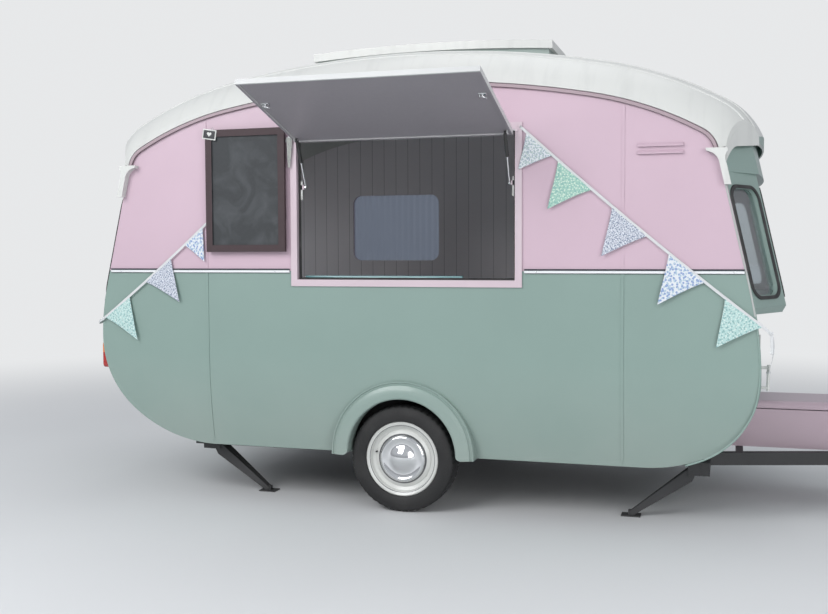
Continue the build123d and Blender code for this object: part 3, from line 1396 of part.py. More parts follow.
def save(name, shape):
    """Write one piece, moved to the origin at the tow ball."""
    export_step(Pos(-coupling_x, 0, -coupling_z) * shape, "parts/" + name + ".step")


def main():
    walls = side_walls()
    walls["side_wall_right_front"] += louvres()
    door_part, wall_part = door_hardware()
    walls["side_wall_left_front"] += wall_part
    nodes = dict(walls)
    nodes["front_wall"] = end_wall(1)
    nodes["rear_wall"] = end_wall(-1)
    nodes["floor_panel"] = floor_panel()
    nodes["front_bay_frame"] = bay_frame(1)
    nodes["rear_bay_frame"] = bay_frame(-1)
    nodes["front_bay_glass"] = bay_glass(1)
    nodes["rear_bay_glass"] = bay_glass(-1)
    nodes["front_bay_seals"] = bay_seals(1)
    nodes["rear_bay_seals"] = bay_seals(-1)
    nodes["roof_shell"] = roof_shell()
    nodes["lantern_walls"] = lantern_walls()
    nodes["lantern_roof"] = lantern_roof()
    nodes["drain_spouts"] = drain_spouts()
    nodes["drip_rails"] = drip_rails()
    nodes["belt_rails"] = belt_rails()
    nodes["hatch_frame"] = hatch_frame()
    nodes["hatch_flap"] = hatch_flap()
    for name, x in zip(("rear", "front"), strut_lines()):
        tube, bar = strut(x)
        nodes["strut_tube_" + name] = tube
        nodes["strut_rod_" + name] = bar
    nodes["entrance_door"] = entrance_door() + door_part + door_handle()
    sheet_y = body_half_width - 12.0
    nodes["door_glass"] = across(door_pane(seat_gap), sheet_y - glass_thickness, sheet_y)
    nodes["side_glass"] = across(window_profile(seat_gap), sheet_y - glass_thickness, sheet_y)
    nodes["wheel_arches"] = spread([wheel_arch(right), wheel_arch(left)])
    for name, side in (("right", right), ("left", left)):
        tyre, rim, cap = wheel(side)
        nodes["tyre_" + name] = tyre
        nodes["wheel_rim_" + name] = rim
        nodes["hubcap_" + name] = cap
    nodes["axle_beam"] = axle_beam()
    nodes["chassis_frame"] = chassis_frame()
    nodes["tow_coupling"] = tow_coupling()
    nodes["handbrake_lever"] = handbrake_lever()
    for end, end_name in ((1, "front"), (-1, "rear")):
        for side, side_name in ((right, "right"), (left, "left")):
            nodes["steady_" + end_name + "_" + side_name] = steady_leg(end, side)
    tube, leg, roller = jockey()
    nodes["jockey_tube"] = tube
    nodes["jockey_leg"] = leg
    nodes["jockey_wheel"] = roller
    nodes["gas_locker"] = gas_locker()
    nodes["gas_locker_lid"] = gas_locker_lid()
    nodes["grab_handles"] = grab_handles()
    nodes["tail_lamps"] = tail_lamps()
    nodes["serving_counter"] = serving_counter()
    nodes["chalkboard"] = chalkboard()
    for end, end_name in ((1, "front"), (-1, "rear")):
        nodes["bunting_cord_" + end_name] = bunting_string(end)
        nodes["bunting_flags_" + end_name] = bunting_flags(end)
    for name, shape in nodes.items():
        save(name, shape)


main()
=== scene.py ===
"""Touring caravan fitted out as an ice cream kiosk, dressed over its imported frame.

Metres. X runs forward to the tow coupling, Y to the caravan's left, Z up, from the tow ball's centre.
"""
import bpy
import bmesh
import math
import numpy as np
from mathutils import Matrix, Vector


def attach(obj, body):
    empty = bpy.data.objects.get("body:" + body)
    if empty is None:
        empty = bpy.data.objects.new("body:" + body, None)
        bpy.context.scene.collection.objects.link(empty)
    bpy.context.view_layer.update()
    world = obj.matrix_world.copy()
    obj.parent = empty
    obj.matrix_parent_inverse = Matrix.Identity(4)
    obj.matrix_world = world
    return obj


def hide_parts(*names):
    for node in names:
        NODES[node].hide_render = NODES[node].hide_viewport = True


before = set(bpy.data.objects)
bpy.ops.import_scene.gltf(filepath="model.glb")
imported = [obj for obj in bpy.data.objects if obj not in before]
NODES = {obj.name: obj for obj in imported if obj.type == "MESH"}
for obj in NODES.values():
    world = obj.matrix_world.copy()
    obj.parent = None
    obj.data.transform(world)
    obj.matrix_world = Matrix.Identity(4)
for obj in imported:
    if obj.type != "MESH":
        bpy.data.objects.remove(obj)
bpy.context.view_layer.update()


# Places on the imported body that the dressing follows

GROUND = -0.380
BELT_Z = 0.915
WALL_Y = 1.000
AXLE_X = -2.950
AXLE_Z = -0.093
SIDES = {"right": -1, "left": 1}
ENDS = {"front": 1, "rear": -1}
# hatch opening in the right wall, as (x, z) of its corners
HATCH_LOW = (-3.529, 0.868)
HATCH_HIGH = (-2.329, 1.634)
HATCH_MIDDLE = -2.929
# flap hinge as (y, z), and how far the flap stands open
HINGE = (-1.0123, 1.6294)
FLAP_OPEN = math.radians(106.0)
# flap's lining: half its length, and how far it reaches from the hinge
LINING_HALF = 0.595
LINING_REACH = 0.744
# chalkboard as (x, z): its middle, and half of its slate
BOARD_MIDDLE = (-3.823, 1.354)
SLATE_HALF = (0.198, 0.297)
# room: half its length, the middle of its height, its walls' inner face
ROOM_HALF = 1.70
ROOM_MIDDLE_Z = 0.85
ROOM_WALL_Y = WALL_Y - 0.030
# boards that line it: half a board's width and half a joint's
BOARD_HALF = 0.045
JOINT_HALF = 0.002
# roof's flat end faces: the height that they stay under, and half their width
ROOF_END_TOP = 1.75
ROOF_END_HALF = 0.72
# heights where a colour changes: tail lamp, edge moulding at the foot of the bay, counter
LAMP_SPLIT_Z = 0.437
BAY_FOOT_Z = 0.70
COUNTER_TOP_Z = 0.823
# wheel: radius that is dark inside, radius of the fine ring and half the ring's width
HUB_RADIUS = 0.1345
RING_RADIUS = 0.1815
RING_HALF = 0.0016
# how far from the middle the floor's wheel boxes begin, where the floor gets painted shade
WHEEL_BOX_Y = 0.70


# Camera, where the photo was taken from

CAMERA_PLACE = (-1.2669, -6.2556, 1.0284)
# turn towards the rear, tilt down and roll, in radians
CAMERA_TURN = (0.296, 0.055, -0.004)
CAMERA_LENS = 45.433


def set_camera():
    """Camera at the photo's place: its axes from the three turns."""
    yaw, pitch, roll = CAMERA_TURN
    ahead = Vector((-math.sin(yaw) * math.cos(pitch), math.cos(yaw) * math.cos(pitch), -math.sin(pitch)))
    side = Vector((math.cos(yaw), math.sin(yaw), 0.0))
    top = side.cross(ahead)
    right = side * math.cos(roll) + top * math.sin(roll)
    up = top * math.cos(roll) - side * math.sin(roll)
    data = bpy.data.cameras.new("camera")
    data.sensor_width = 36.0
    data.lens = CAMERA_LENS
    data.clip_end = 200.0
    camera = bpy.data.objects.new("camera", data)
    turn = Matrix((right, up, -ahead)).transposed().to_4x4()
    camera.matrix_world = Matrix.Translation(CAMERA_PLACE) @ turn
    bpy.context.scene.collection.objects.link(camera)
    bpy.context.scene.camera = camera


set_camera()


# Node trees

class Nodes:
    """A node tree and short ways to add to it; values are numbers, colours or sockets."""

    def __init__(self, tree):
        self.tree = tree

    def feed(self, socket, value):
        """Links a socket, or sets its constant."""
        if isinstance(value, bpy.types.NodeSocket):
            self.tree.links.new(value, socket)
        else:
            socket.default_value = value

    def put(self, kind, values=None, **settings):
        """Adds a shader node with its settings and its sockets' values."""
        made = self.tree.nodes.new("ShaderNode" + kind)
        for name, setting in settings.items():
            setattr(made, name, setting)
        for name, value in (values or {}).items():
            self.feed(made.inputs[name], value)
        return made

    def maths(self, kind, *values):
        """Result of a maths node."""
        return self.put("Math", dict(enumerate(values)), operation=kind).outputs[0]

    def plus(self, a, b):
        """Sum of two values."""
        return self.maths("ADD", a, b)

    def times(self, first, *others):
        """Product of values, or of masks that must all hold."""
        for other in others:
            first = self.maths("MULTIPLY", first, other)
        return first

    def above(self, value, limit):
        """Mask where a value is over a limit."""
        return self.maths("GREATER_THAN", value, limit)

    def below(self, value, limit):
        """Mask where a value is under a limit."""
        return self.maths("LESS_THAN", value, limit)

    def away(self, value, middle=0.0):
        """Distance from a middle, either way."""
        return self.maths("ABSOLUTE", self.maths("SUBTRACT", value, middle))

    def span(self, value, low, high, start=0.0, end=1.0, **settings):
        """Maps start to end onto low to high."""
        values = {"Value": value, "From Min": start, "From Max": end, "To Min": low, "To Max": high}
        return self.put("MapRange", values, **settings).outputs["Result"]

    def mix(self, factor, a, b):
        """Colour a at factor 0 and b at 1."""
        values = {"Factor": factor, "A": a, "B": b}
        return self.put("Mix", values, data_type="RGBA").outputs["Result"]

    def noise(self, place, scale, detail=2.0, distortion=0.0):
        """Clouds of a scale."""
        values = {"Vector": place, "Scale": scale, "Detail": detail, "Distortion": distortion}
        return self.put("TexNoise", values).outputs["Fac"]

    def stretched(self, *scale):
        """The object's own coordinates, times a scale for each axis."""
        return self.put("Mapping", {"Vector": self.place(), "Scale": scale}).outputs[0]

    def place(self):
        """The object's own coordinates."""
        return self.put("TexCoord").outputs["Object"]

    def parts(self):
        """The object's own x, y and z."""
        return self.put("SeparateXYZ", {0: self.place()}).outputs

    def skin(self):
        """The skin's direction in the object's x, y and z."""
        return self.put("SeparateXYZ", {0: self.put("TexCoord").outputs["Normal"]}).outputs


class Finish(Nodes):
    """A material with one surface shader."""

    def __init__(self, name):
        self.made = bpy.data.materials.new(name)
        self.made.use_nodes = True
        super().__init__(self.made.node_tree)
        self.tree.nodes.clear()
        self.sink = self.put("OutputMaterial")
        self.shader = self.put("BsdfPrincipled")
        self.feed(self.sink.inputs["Surface"], self.shader.outputs[0])

    def surface(self, **values):
        """Sets the shader's sockets, named with _ for each space."""
        for name, value in values.items():
            self.feed(self.shader.inputs[name.replace("_", " ")], value)

    def relief(self, height, strength, distance):
        """Bump from a height."""
        values = {"Height": height, "Strength": strength, "Distance": distance}
        self.surface(Normal=self.put("Bump", values).outputs["Normal"])


def new_group(name, inputs, outputs):
    """An empty node group: its nodes, its inputs and its results' sockets."""
    tree = bpy.data.node_groups.new(name, "ShaderNodeTree")
    for socket, value in inputs.items():
        kind = "NodeSocketColor" if isinstance(value, tuple) else "NodeSocketFloat"
        tree.interface.new_socket(name=socket, in_out="INPUT", socket_type=kind).default_value = value
    for socket in outputs:
        kind = "NodeSocketColor" if socket == "Color" else "NodeSocketFloat"
        tree.interface.new_socket(name=socket, in_out="OUTPUT", socket_type=kind)
    return Nodes(tree), tree.nodes.new("NodeGroupInput").outputs, tree.nodes.new("NodeGroupOutput").inputs


def make_paint_group():
    """Wear of painted sheet: faint mottling, dust towards the ground, uneven gloss, soft waves."""
    inputs = {"Base": (0.8, 0.8, 0.8, 1), "Dust": 0.5, "Gloss": 0.35}
    nodes, given, result = new_group("paint_wear", inputs, ("Color", "Roughness", "Height"))
    place = nodes.place()
    cloud = nodes.noise(place, 2.3, 6.0)
    grain = nodes.noise(place, 60.0, 4.0)
    wave = nodes.noise(place, 4.0, 1.0)
    shade = nodes.put("VectorMath", {0: given["Base"], "Scale": nodes.span(cloud, 0.94, 1.05)},
                      operation="SCALE")
    low = nodes.span(nodes.parts()["Z"], 0.0, 1.0, 0.45, GROUND + 0.22)
    dust = nodes.times(low, cloud, given["Dust"])
    gloss = nodes.plus(given["Gloss"], nodes.span(grain, -0.07, 0.12))
    nodes.feed(result["Color"], nodes.mix(dust, shade.outputs[0], DUST))
    nodes.feed(result["Roughness"], nodes.maths("MULTIPLY_ADD", dust, 0.4, gloss))
    nodes.feed(result["Height"], nodes.maths("MULTIPLY_ADD", grain, 0.03, wave))
    return nodes.tree


def make_print_group():
    """Printed cotton: motifs of two colours scattered on a base, and the height of its weave. It reads the
    cloth's map, in metres."""
    inputs = {"Base": (0.8, 0.8, 0.8, 1), "Motif": (0.3, 0.3, 0.5, 1), "Second": (0.3, 0.5, 0.4, 1),
              "Scale": 60.0, "Size": 0.35}
    nodes, given, result = new_group("printed_cotton", inputs, ("Color", "Height"))
    place = nodes.put("UVMap", uv_map="cloth").outputs[0]
    bend = nodes.put("TexNoise", {"Vector": place, "Scale": 260.0}).outputs["Color"]
    shift = nodes.put("VectorMath", {0: bend, "Scale": 0.006}, operation="SCALE").outputs[0]
    moved = nodes.put("VectorMath", {0: place, 1: shift}).outputs[0]
    color = given["Base"]
    for motif, slide, share in (("Motif", 0.0, 1.0), ("Second", 3.7, 0.8)):
        where = nodes.put("VectorMath", {0: moved, 1: (slide, slide * 0.7, 0.0)}).outputs[0]
        cell = nodes.put("TexVoronoi", {"Vector": where, "Scale": given["Scale"]},
                         voronoi_dimensions="2D")
        mask = nodes.below(cell.outputs["Distance"], nodes.times(given["Size"], share))
        color = nodes.mix(mask, color, given[motif])
    nodes.feed(result["Color"], color)
    nodes.feed(result["Height"], nodes.noise(place, 1500.0, 2.0))
    return nodes.tree


# Colours

PINK = (0.555, 0.415, 0.490, 1)
GREEN = (0.225, 0.315, 0.285, 1)
WHITE = (0.63, 0.64, 0.62, 1)
INSIDE = (0.82, 0.78, 0.81, 1)
JOINT = (0.48, 0.45, 0.47, 1)
LINING = (0.30, 0.28, 0.305, 1)
FLAP_EDGE = (0.54, 0.55, 0.55, 1)
STREAK = (0.45, 0.46, 0.45, 1)
DUST = (0.36, 0.35, 0.33, 1)
RUBBER_DUST = (0.17, 0.165, 0.16, 1)
# painted shade for the floor's underside and its wheel boxes
PAINTED_UNDER_SHADE = (0.020, 0.020, 0.021, 1)
SLATE = (0.030, 0.034, 0.038, 1)
CHALK = (0.11, 0.12, 0.13, 1)
BOARD_FRAME = (0.045, 0.026, 0.030, 1)
RED = (0.42, 0.02, 0.015, 1)
AMBER = (0.75, 0.20, 0.03, 1)
RAIL = (0.78, 0.80, 0.82, 1)
RAIL_INSERT = (0.035, 0.04, 0.05, 1)
MOULDING = (0.40, 0.42, 0.41, 1)
DRIP_FACE = (0.36, 0.28, 0.31, 1)
# painted shadow lines on the drip rail's faces that don't look sideways
DRIP_SHADOW_LINE = (0.16, 0.12, 0.135, 1)
RIM = (0.60, 0.61, 0.59, 1)
RIM_LINE = (0.075, 0.078, 0.085, 1)
COUNTER = (0.50, 0.50, 0.49, 1)
COUNTER_TOP = (0.20, 0.33, 0.35, 1)
CLOTH_WHITE = (0.66, 0.69, 0.72, 1)
TAPE_PALE = (0.66, 0.67, 0.67, 1)
TAPE_GREY = (0.56, 0.58, 0.60, 1)
PAINT_WEAR = make_paint_group()
PRINTED_COTTON = make_print_group()


# Tones: the base colour of a paint, from where on the object it lies

def wall_tone(look):
    """Outside pink above the belt and green below it, inside grey boards with dark joints."""
    part, way = look.parts(), look.skin()
    outside = look.mix(look.above(part["Z"], BELT_Z), GREEN, PINK)
    inner = look.times(look.below(look.away(part["Y"]), ROOM_WALL_Y),
                       look.below(look.away(part["X"], AXLE_X), ROOM_HALF),
                       look.below(look.times(part["Y"], way["Y"]), -0.2),
                       look.above(way["Z"], -0.5))
    joint = look.below(look.maths("PINGPONG", part["X"], BOARD_HALF), JOINT_HALF)
    return look.mix(inner, outside, look.mix(joint, INSIDE, JOINT))


def end_tone(look):
    """Green outside, and pale where the skin faces the middle of the room."""
    part, way = look.parts(), look.skin()
    forward = look.times(look.maths("SUBTRACT", part["X"], AXLE_X), way["X"])
    sideways = look.times(part["Y"], way["Y"])
    upward = look.times(look.maths("SUBTRACT", part["Z"], ROOM_MIDDLE_Z), way["Z"])
    outward = look.plus(look.plus(forward, sideways), upward)
    return look.mix(look.below(outward, -1.0), GREEN, INSIDE)


def roof_tone(look):
    """Off-white with faint grey streaks, and green on the flat end faces."""
    part, way = look.parts(), look.skin()
    streak = look.noise(look.stretched(9.0, 1.2, 1.2), 2.0, 5.0)
    pale = look.mix(look.span(streak, 0.0, 0.35, 0.50, 0.80), WHITE, STREAK)
    end = look.times(look.above(look.away(way["X"]), 0.93), look.below(part["Z"], ROOF_END_TOP),
                     look.below(look.away(part["Y"]), ROOF_END_HALF))
    return look.mix(end, pale, GREEN)


def flap_tone(look):
    """Mauve-grey lining in a white edge strip, and a pink outer face, by the skin's direction."""
    part, way = look.parts(), look.skin()
    c, s = math.cos(FLAP_OPEN), math.sin(FLAP_OPEN)
    tilt = look.plus(look.times(way["Y"], -c), look.times(way["Z"], s))
    reach = look.plus(look.times(look.maths("SUBTRACT", part["Y"], HINGE[0]), -s),
                      look.times(look.maths("SUBTRACT", part["Z"], HINGE[1]), -c))
    lining = look.times(look.below(tilt, -0.7), look.below(look.away(part["X"], HATCH_MIDDLE), LINING_HALF),
                        look.below(reach, LINING_REACH))
    return look.mix(look.above(tilt, 0.7), look.mix(lining, FLAP_EDGE, LINING), PINK)


def board_tone(look):
    """Slate with faint smears of chalk in a dark brown frame."""
    part = look.parts()
    slate = look.times(look.below(look.away(part["X"], BOARD_MIDDLE[0]), SLATE_HALF[0]),
                       look.below(look.away(part["Z"], BOARD_MIDDLE[1]), SLATE_HALF[1]))
    smear = look.noise(look.place(), 6.0, 7.0, 1.5)
    face = look.mix(look.span(smear, 0.0, 0.5, 0.45, 0.85), SLATE, CHALK)
    return look.mix(slate, BOARD_FRAME, face)


def split_tone(height, low, high):
    """Tone that is one colour below a height and another above it."""
    return lambda look: look.mix(look.above(look.parts()["Z"], height), low, high)


def drip_tone(look):
    """Dusky pink face between two dark lines of painted shadow on the faces that don't look sideways, by the
    skin's direction.
    """
    return look.mix(look.above(look.away(look.skin()["Y"]), 0.90), DRIP_SHADOW_LINE, DRIP_FACE)


def rim_tone(look):
    """Off-white wheel with two fine dark rings, by the distance from the axle."""
    part = look.parts()
    x = look.maths("SUBTRACT", part["X"], AXLE_X)
    z = look.maths("SUBTRACT", part["Z"], AXLE_Z)
    r = look.maths("POWER", look.plus(look.times(x, x), look.times(z, z)), 0.5)
    line = look.maths("MAXIMUM", look.below(r, HUB_RADIUS), look.below(look.away(r, RING_RADIUS), RING_HALF))
    return look.mix(line, RIM, RIM_LINE)


# Finishes

def paint(name, color, gloss, dust, coat):
    """Painted sheet with its wear, in one colour or a tone."""
    look = Finish(name)
    base = color(look) if callable(color) else color
    wear = look.put("Group", {"Base": base, "Dust": dust, "Gloss": gloss}, node_tree=PAINT_WEAR)
    look.surface(Base_Color=wear.outputs["Color"], Roughness=wear.outputs["Roughness"], Coat_Weight=coat,
                 Coat_Roughness=0.12)
    look.relief(wear.outputs["Height"], 0.15, 0.004)
    return look.made


def metal(name, color, rough, scratch, dirt):
    """Metal with fine scratches and dull spots."""
    look = Finish(name)
    place = look.place()
    fine = look.noise(place, 90.0, 5.0)
    spot = look.span(look.noise(place, 7.0, 4.0), 0.0, dirt, 0.52, 0.75)
    dark = tuple(0.35 * c for c in color[:3]) + (1,)
    look.surface(Base_Color=look.mix(spot, color, dark), Metallic=1.0,
                 Roughness=look.span(fine, max(rough - scratch, 0.02), rough + 2 * scratch))
    look.relief(fine, 0.05, 0.001)
    return look.made


def soft_black(name, level, rough, dust):
    """Rubber or black plastic with dust in it."""
    look = Finish(name)
    place = look.place()
    grain = look.noise(place, 140.0, 6.0)
    dull = look.span(look.noise(place, 9.0, 5.0), 0.0, dust, 0.40, 0.75)
    look.surface(Base_Color=look.mix(dull, (level, level, level * 1.05, 1), RUBBER_DUST),
                 Roughness=look.span(grain, rough - 0.12, rough + 0.12))
    look.relief(grain, 0.25, 0.001)
    return look.made


def pane(name, tint, haze, rough, reeded=False):
    """Clear pane with a little haze, and upright reeds where it is reeded."""
    look = Finish(name)
    place = look.place()
    look.surface(Base_Color=tint, Metallic=0.0, Transmission_Weight=1.0, IOR=1.45,
                 Roughness=look.span(look.noise(place, haze), *rough))
    if reeded:
        reed = look.put("TexWave", {"Vector": place, "Scale": 7.0}, wave_profile="SIN")
        look.relief(reed.outputs["Fac"], 0.9, 0.004)
    return look.made


def wood(name, color, dark):
    """Boards with grain along X, with painted shade, near black, underneath and over the wheels."""
    look = Finish(name)
    grain = look.noise(look.stretched(2.0, 24.0, 24.0), 3.0, 8.0, 0.6)
    # painted shade: near black where the skin points down and over the wheel boxes
    shaded_faces = look.maths("MAXIMUM", look.below(look.skin()["Z"], -0.5),
                        look.above(look.away(look.parts()["Y"]), WHEEL_BOX_Y))
    look.surface(Base_Color=look.mix(shaded_faces, look.mix(grain, color, dark), PAINTED_UNDER_SHADE),
                 Roughness=look.span(grain, 0.42, 0.66))
    look.relief(grain, 0.2, 0.001)
    return look.made


def belt_rail(name):
    """Polished rail with a dark insert above and a fine dark line below."""
    look = Finish(name)
    height = look.parts()["Z"]
    dark = look.maths("MAXIMUM", look.above(height, BELT_Z + 0.0025), look.below(height, BELT_Z - 0.0095))
    look.surface(Base_Color=look.mix(dark, RAIL, RAIL_INSERT),
                 Metallic=look.times(look.maths("SUBTRACT", 1.0, dark), 0.25),
                 Roughness=look.span(look.noise(look.place(), 60.0), 0.34, 0.46))
    return look.made


def printed_cotton(name, base, motif, second, scale, size):
    """Cotton flag cloth with its own print."""
    look = Finish(name)
    values = {"Base": base, "Motif": motif, "Second": second, "Scale": scale, "Size": size}
    weave = look.put("Group", values, node_tree=PRINTED_COTTON)
    look.surface(Base_Color=weave.outputs["Color"], Roughness=0.85, Sheen_Weight=0.25)
    look.relief(weave.outputs["Height"], 0.35, 0.0006)
    return look.made


def cotton_tape(name):
    """White cotton tape with a fine twill and faint greying."""
    look = Finish(name)
    place = look.place()
    twill = look.put("TexWave", {"Vector": place, "Scale": 380.0}, bands_direction="DIAGONAL")
    look.surface(Base_Color=look.mix(look.noise(place, 12.0), TAPE_PALE, TAPE_GREY), Roughness=0.85,
                 Sheen_Weight=0.2)
    look.relief(twill.outputs["Fac"], 0.3, 0.0004)
    return look.made


# paint: colour or tone, gloss, dust, coat
PAINTS = {
    "walls": (wall_tone, 0.35, 0.5, 0.3),
    "green": (GREEN, 0.35, 0.5, 0.3),
    "ends": (end_tone, 0.35, 0.5, 0.3),
    "pink": (PINK, 0.35, 0.5, 0.3),
    "roof": (roof_tone, 0.42, 0.0, 0.2),
    "white": (WHITE, 0.4, 0.2, 0.15),
    "drip": (drip_tone, 0.45, 0.0, 0.1),
    "moulding": (split_tone(BAY_FOOT_Z, GREEN, MOULDING), 0.35, 0.0, 0.2),
    "hatch_trim": ((0.58, 0.48, 0.53, 1), 0.4, 0.0, 0.3),
    "lantern": ((0.30, 0.36, 0.34, 1), 0.45, 0.0, 0.3),
    "rim": (rim_tone, 0.3, 0.1, 0.4),
    "flap": (flap_tone, 0.45, 0.0, 0.1),
    "dark": ((0.020, 0.021, 0.024, 1), 0.55, 0.12, 0.0),
    "board": (board_tone, 0.6, 0.0, 0.0),
    "slate": ((0.05, 0.05, 0.055, 1), 0.6, 0.0, 0.0),
    "lamp": (split_tone(LAMP_SPLIT_Z, RED, AMBER), 0.2, 0.2, 0.8),
    "counter": (split_tone(COUNTER_TOP_Z, COUNTER, COUNTER_TOP), 0.4, 0.0, 0.1),
    "teal": ((0.14, 0.30, 0.32, 1), 0.35, 0.0, 0.3),
}
# print: base, motif, second motif, motifs in a metre, how much of its place a motif fills
PRINTS = {
    "sprig_grey": (CLOTH_WHITE, (0.34, 0.42, 0.48, 1), (0.42, 0.52, 0.50, 1), 85.0, 0.36),
    "leaf_mint": ((0.33, 0.54, 0.46, 1), (0.24, 0.44, 0.40, 1), (0.60, 0.72, 0.62, 1), 80.0, 0.32),
    "speckle": ((0.48, 0.51, 0.58, 1), (0.17, 0.21, 0.30, 1), (0.66, 0.69, 0.74, 1), 120.0, 0.38),
    "sprig_blue": (CLOTH_WHITE, (0.24, 0.33, 0.54, 1), (0.38, 0.50, 0.60, 1), 62.0, 0.34),
    "leaf_aqua": ((0.42, 0.60, 0.58, 1), (0.24, 0.41, 0.41, 1), (0.60, 0.70, 0.66, 1), 75.0, 0.30),
    "cream": ((0.56, 0.57, 0.54, 1), (0.48, 0.50, 0.50, 1), (0.60, 0.61, 0.58, 1), 70.0, 0.30),
}
MATERIALS = {
    "belt": belt_rail("belt"),
    "tape": cotton_tape("tape"),
    "chrome": metal("chrome", (0.78, 0.79, 0.80, 1), 0.07, 0.03, 0.15),
    "zinc": metal("zinc", (0.42, 0.43, 0.44, 1), 0.42, 0.10, 0.6),
    "rubber": soft_black("rubber", 0.018, 0.60, 0.25),
    "plastic": soft_black("plastic", 0.022, 0.45, 0.1),
    "tyre": soft_black("tyre", 0.013, 0.70, 0.07),
    "glass": pane("glass", (0.90, 0.95, 0.96, 1), 5.0, (0.0, 0.06)),
    "reeded": pane("reeded", (0.34, 0.38, 0.46, 1), 30.0, (0.30, 0.45), reeded=True),
    "ply": wood("ply", (0.36, 0.27, 0.18, 1), (0.24, 0.17, 0.11, 1)),
}
MATERIALS.update({name: paint(name, *facts) for name, facts in PAINTS.items()})
MATERIALS.update({name: printed_cotton(name, *facts) for name, facts in PRINTS.items()})

FINISHED_IN = {
    "walls": "side_wall_right_rear side_wall_right_middle side_wall_right_front side_wall_left_rear "
             "side_wall_left_front entrance_door",
    "green": "wheel_arches",
    "ends": "front_wall rear_wall front_bay_frame rear_bay_frame",
    "pink": "gas_locker gas_locker_lid",
    "roof": "roof_shell lantern_roof drain_spouts",
    "white": "grab_handles",
    "hatch_trim": "hatch_frame",
    "lantern": "lantern_walls",
    "rim": "wheel_rim_right wheel_rim_left",
    "flap": "hatch_flap",
    "dark": "axle_beam chassis_frame steady_front_right steady_front_left steady_rear_right "
            "steady_rear_left",
    "board": "chalkboard",
    "lamp": "tail_lamps",
    "counter": "serving_counter",
    "chrome": "hubcap_right hubcap_left strut_rod_rear strut_rod_front",
    "belt": "belt_rails",
    "drip": "drip_rails",
    "zinc": "tow_coupling handbrake_lever jockey_tube jockey_leg",
    "rubber": "front_bay_seals rear_bay_seals jockey_wheel",
    "plastic": "strut_tube_rear strut_tube_front",
    "tyre": "tyre_right tyre_left",
    "glass": "front_bay_glass rear_bay_glass door_glass",
    "reeded": "side_glass",
    "ply": "floor_panel",
}


def dress_nodes():
    """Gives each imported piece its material."""
    for finish, names in FINISHED_IN.items():
        for name in names.split():
            mesh = NODES[name].data
            mesh.materials.clear()
            mesh.materials.append(MATERIALS[finish])


dress_nodes()


# Surfaces worked out as whole arrays

# points closer than this are merged
WELD = 2e-6
CLOTH_THICK = 0.0007
# steps round a ring, a slab, a knot, its strip or a small head, the heart and a hubcap
RING_STEPS = 40
SLAB_STEPS = 32
KNOT_STEPS = 72
STRIP_STEPS = 12
HEART_STEPS = 48
CAP_STEPS = 160


def unit(vectors):
    """Vectors brought to a length of one."""
    return vectors / np.linalg.norm(vectors, axis=-1, keepdims=True)


def turned_pair(a, b, angle):
    """Two coordinates turned by an angle, from the first towards the second."""
    c, s = math.cos(angle), math.sin(angle)
    return a * c - b * s, a * s + b * c


def line_length(points):
    """Length of a line: the sum of its steps."""
    return np.linalg.norm(np.diff(points, axis=0), axis=1).sum()


def circle(count):
    """Angles of a full turn in equal steps, without the last."""
    return np.linspace(0, 2 * np.pi, count, endpoint=False)


def grid_faces(rows, cols, wrap_rows=False, wrap_cols=False):
    """Quads between neighbouring points of a grid, wrapped round where asked."""
    i, j = np.meshgrid(np.arange(rows - (not wrap_rows)), np.arange(cols - (not wrap_cols)), indexing="ij")
    i, j = i.ravel(), j.ravel()
    i2, j2 = (i + 1) % rows, (j + 1) % cols
    return np.stack([i * cols + j, i * cols + j2, i2 * cols + j2, i2 * cols + j], axis=-1).tolist()


def piece(name, points, faces, finish, slot, body="caravan", cloth_map=None, smooth=True):
    """A mesh from points and faces that rides on a body. All but cloth, which has a map and open edges, has
    its faces turned outward."""
    mesh = bpy.data.meshes.new(name)
    mesh.from_pydata(np.asarray(points, float).reshape(-1, 3).tolist(), [], faces)
    if cloth_map is not None:
        corner = np.empty(len(mesh.loops), np.int32)
        mesh.loops.foreach_get("vertex_index", corner)
        mesh.uv_layers.new(name="cloth").data.foreach_set("uv", cloth_map.reshape(-1, 2)[corner].ravel())
    shape = bmesh.new()
    shape.from_mesh(mesh)
    bmesh.ops.remove_doubles(shape, verts=shape.verts, dist=WELD)
    if cloth_map is None:
        bmesh.ops.recalc_face_normals(shape, faces=shape.faces)
    shape.to_mesh(mesh)
    shape.free()
    mesh.polygons.foreach_set("use_smooth", np.full(len(mesh.polygons), smooth))
    mesh.materials.append(MATERIALS[finish])
    made = bpy.data.objects.new(name, mesh)
    bpy.context.scene.collection.objects.link(made)
    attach(made, body)
    return made


def cloth(name, points, cloth_map, finish):
    """A cloth piece from a grid of points, with the cotton's thickness."""
    rows, cols = points.shape[:2]
    made = piece(name, points, grid_faces(rows, cols), finish, "bunting_cloth", cloth_map=cloth_map)
    thick = made.modifiers.new("thickness", "SOLIDIFY")
    thick.thickness = CLOTH_THICK
    thick.offset = 0.0
    return made


def smooth_line(table, per=8, closed=False):
    """Cubics through a table of points, sloping by half the step between a point's neighbours."""
    p = np.asarray(table, float)
    if closed:
        before, here, after, later = np.roll(p, 1, 0), p, np.roll(p, -1, 0), np.roll(p, -2, 0)
    else:
        q = np.vstack([2 * p[0] - p[1], p, 2 * p[-1] - p[-2]])
        before, here, after, later = q[:-3], q[1:-2], q[2:-1], q[3:]
    t = np.linspace(0, 1, per, endpoint=False)[None, :, None]
    slope_a, slope_b = (after - before)[:, None] / 2, (later - here)[:, None] / 2
    line = ((2 * t ** 3 - 3 * t ** 2 + 1) * here[:, None] + (t ** 3 - 2 * t ** 2 + t) * slope_a
            + (3 * t ** 2 - 2 * t ** 3) * after[:, None] + (t ** 3 - t ** 2) * slope_b)
    line = line.reshape(-1, p.shape[1])
    return line if closed else np.vstack([line, p[-1:]])


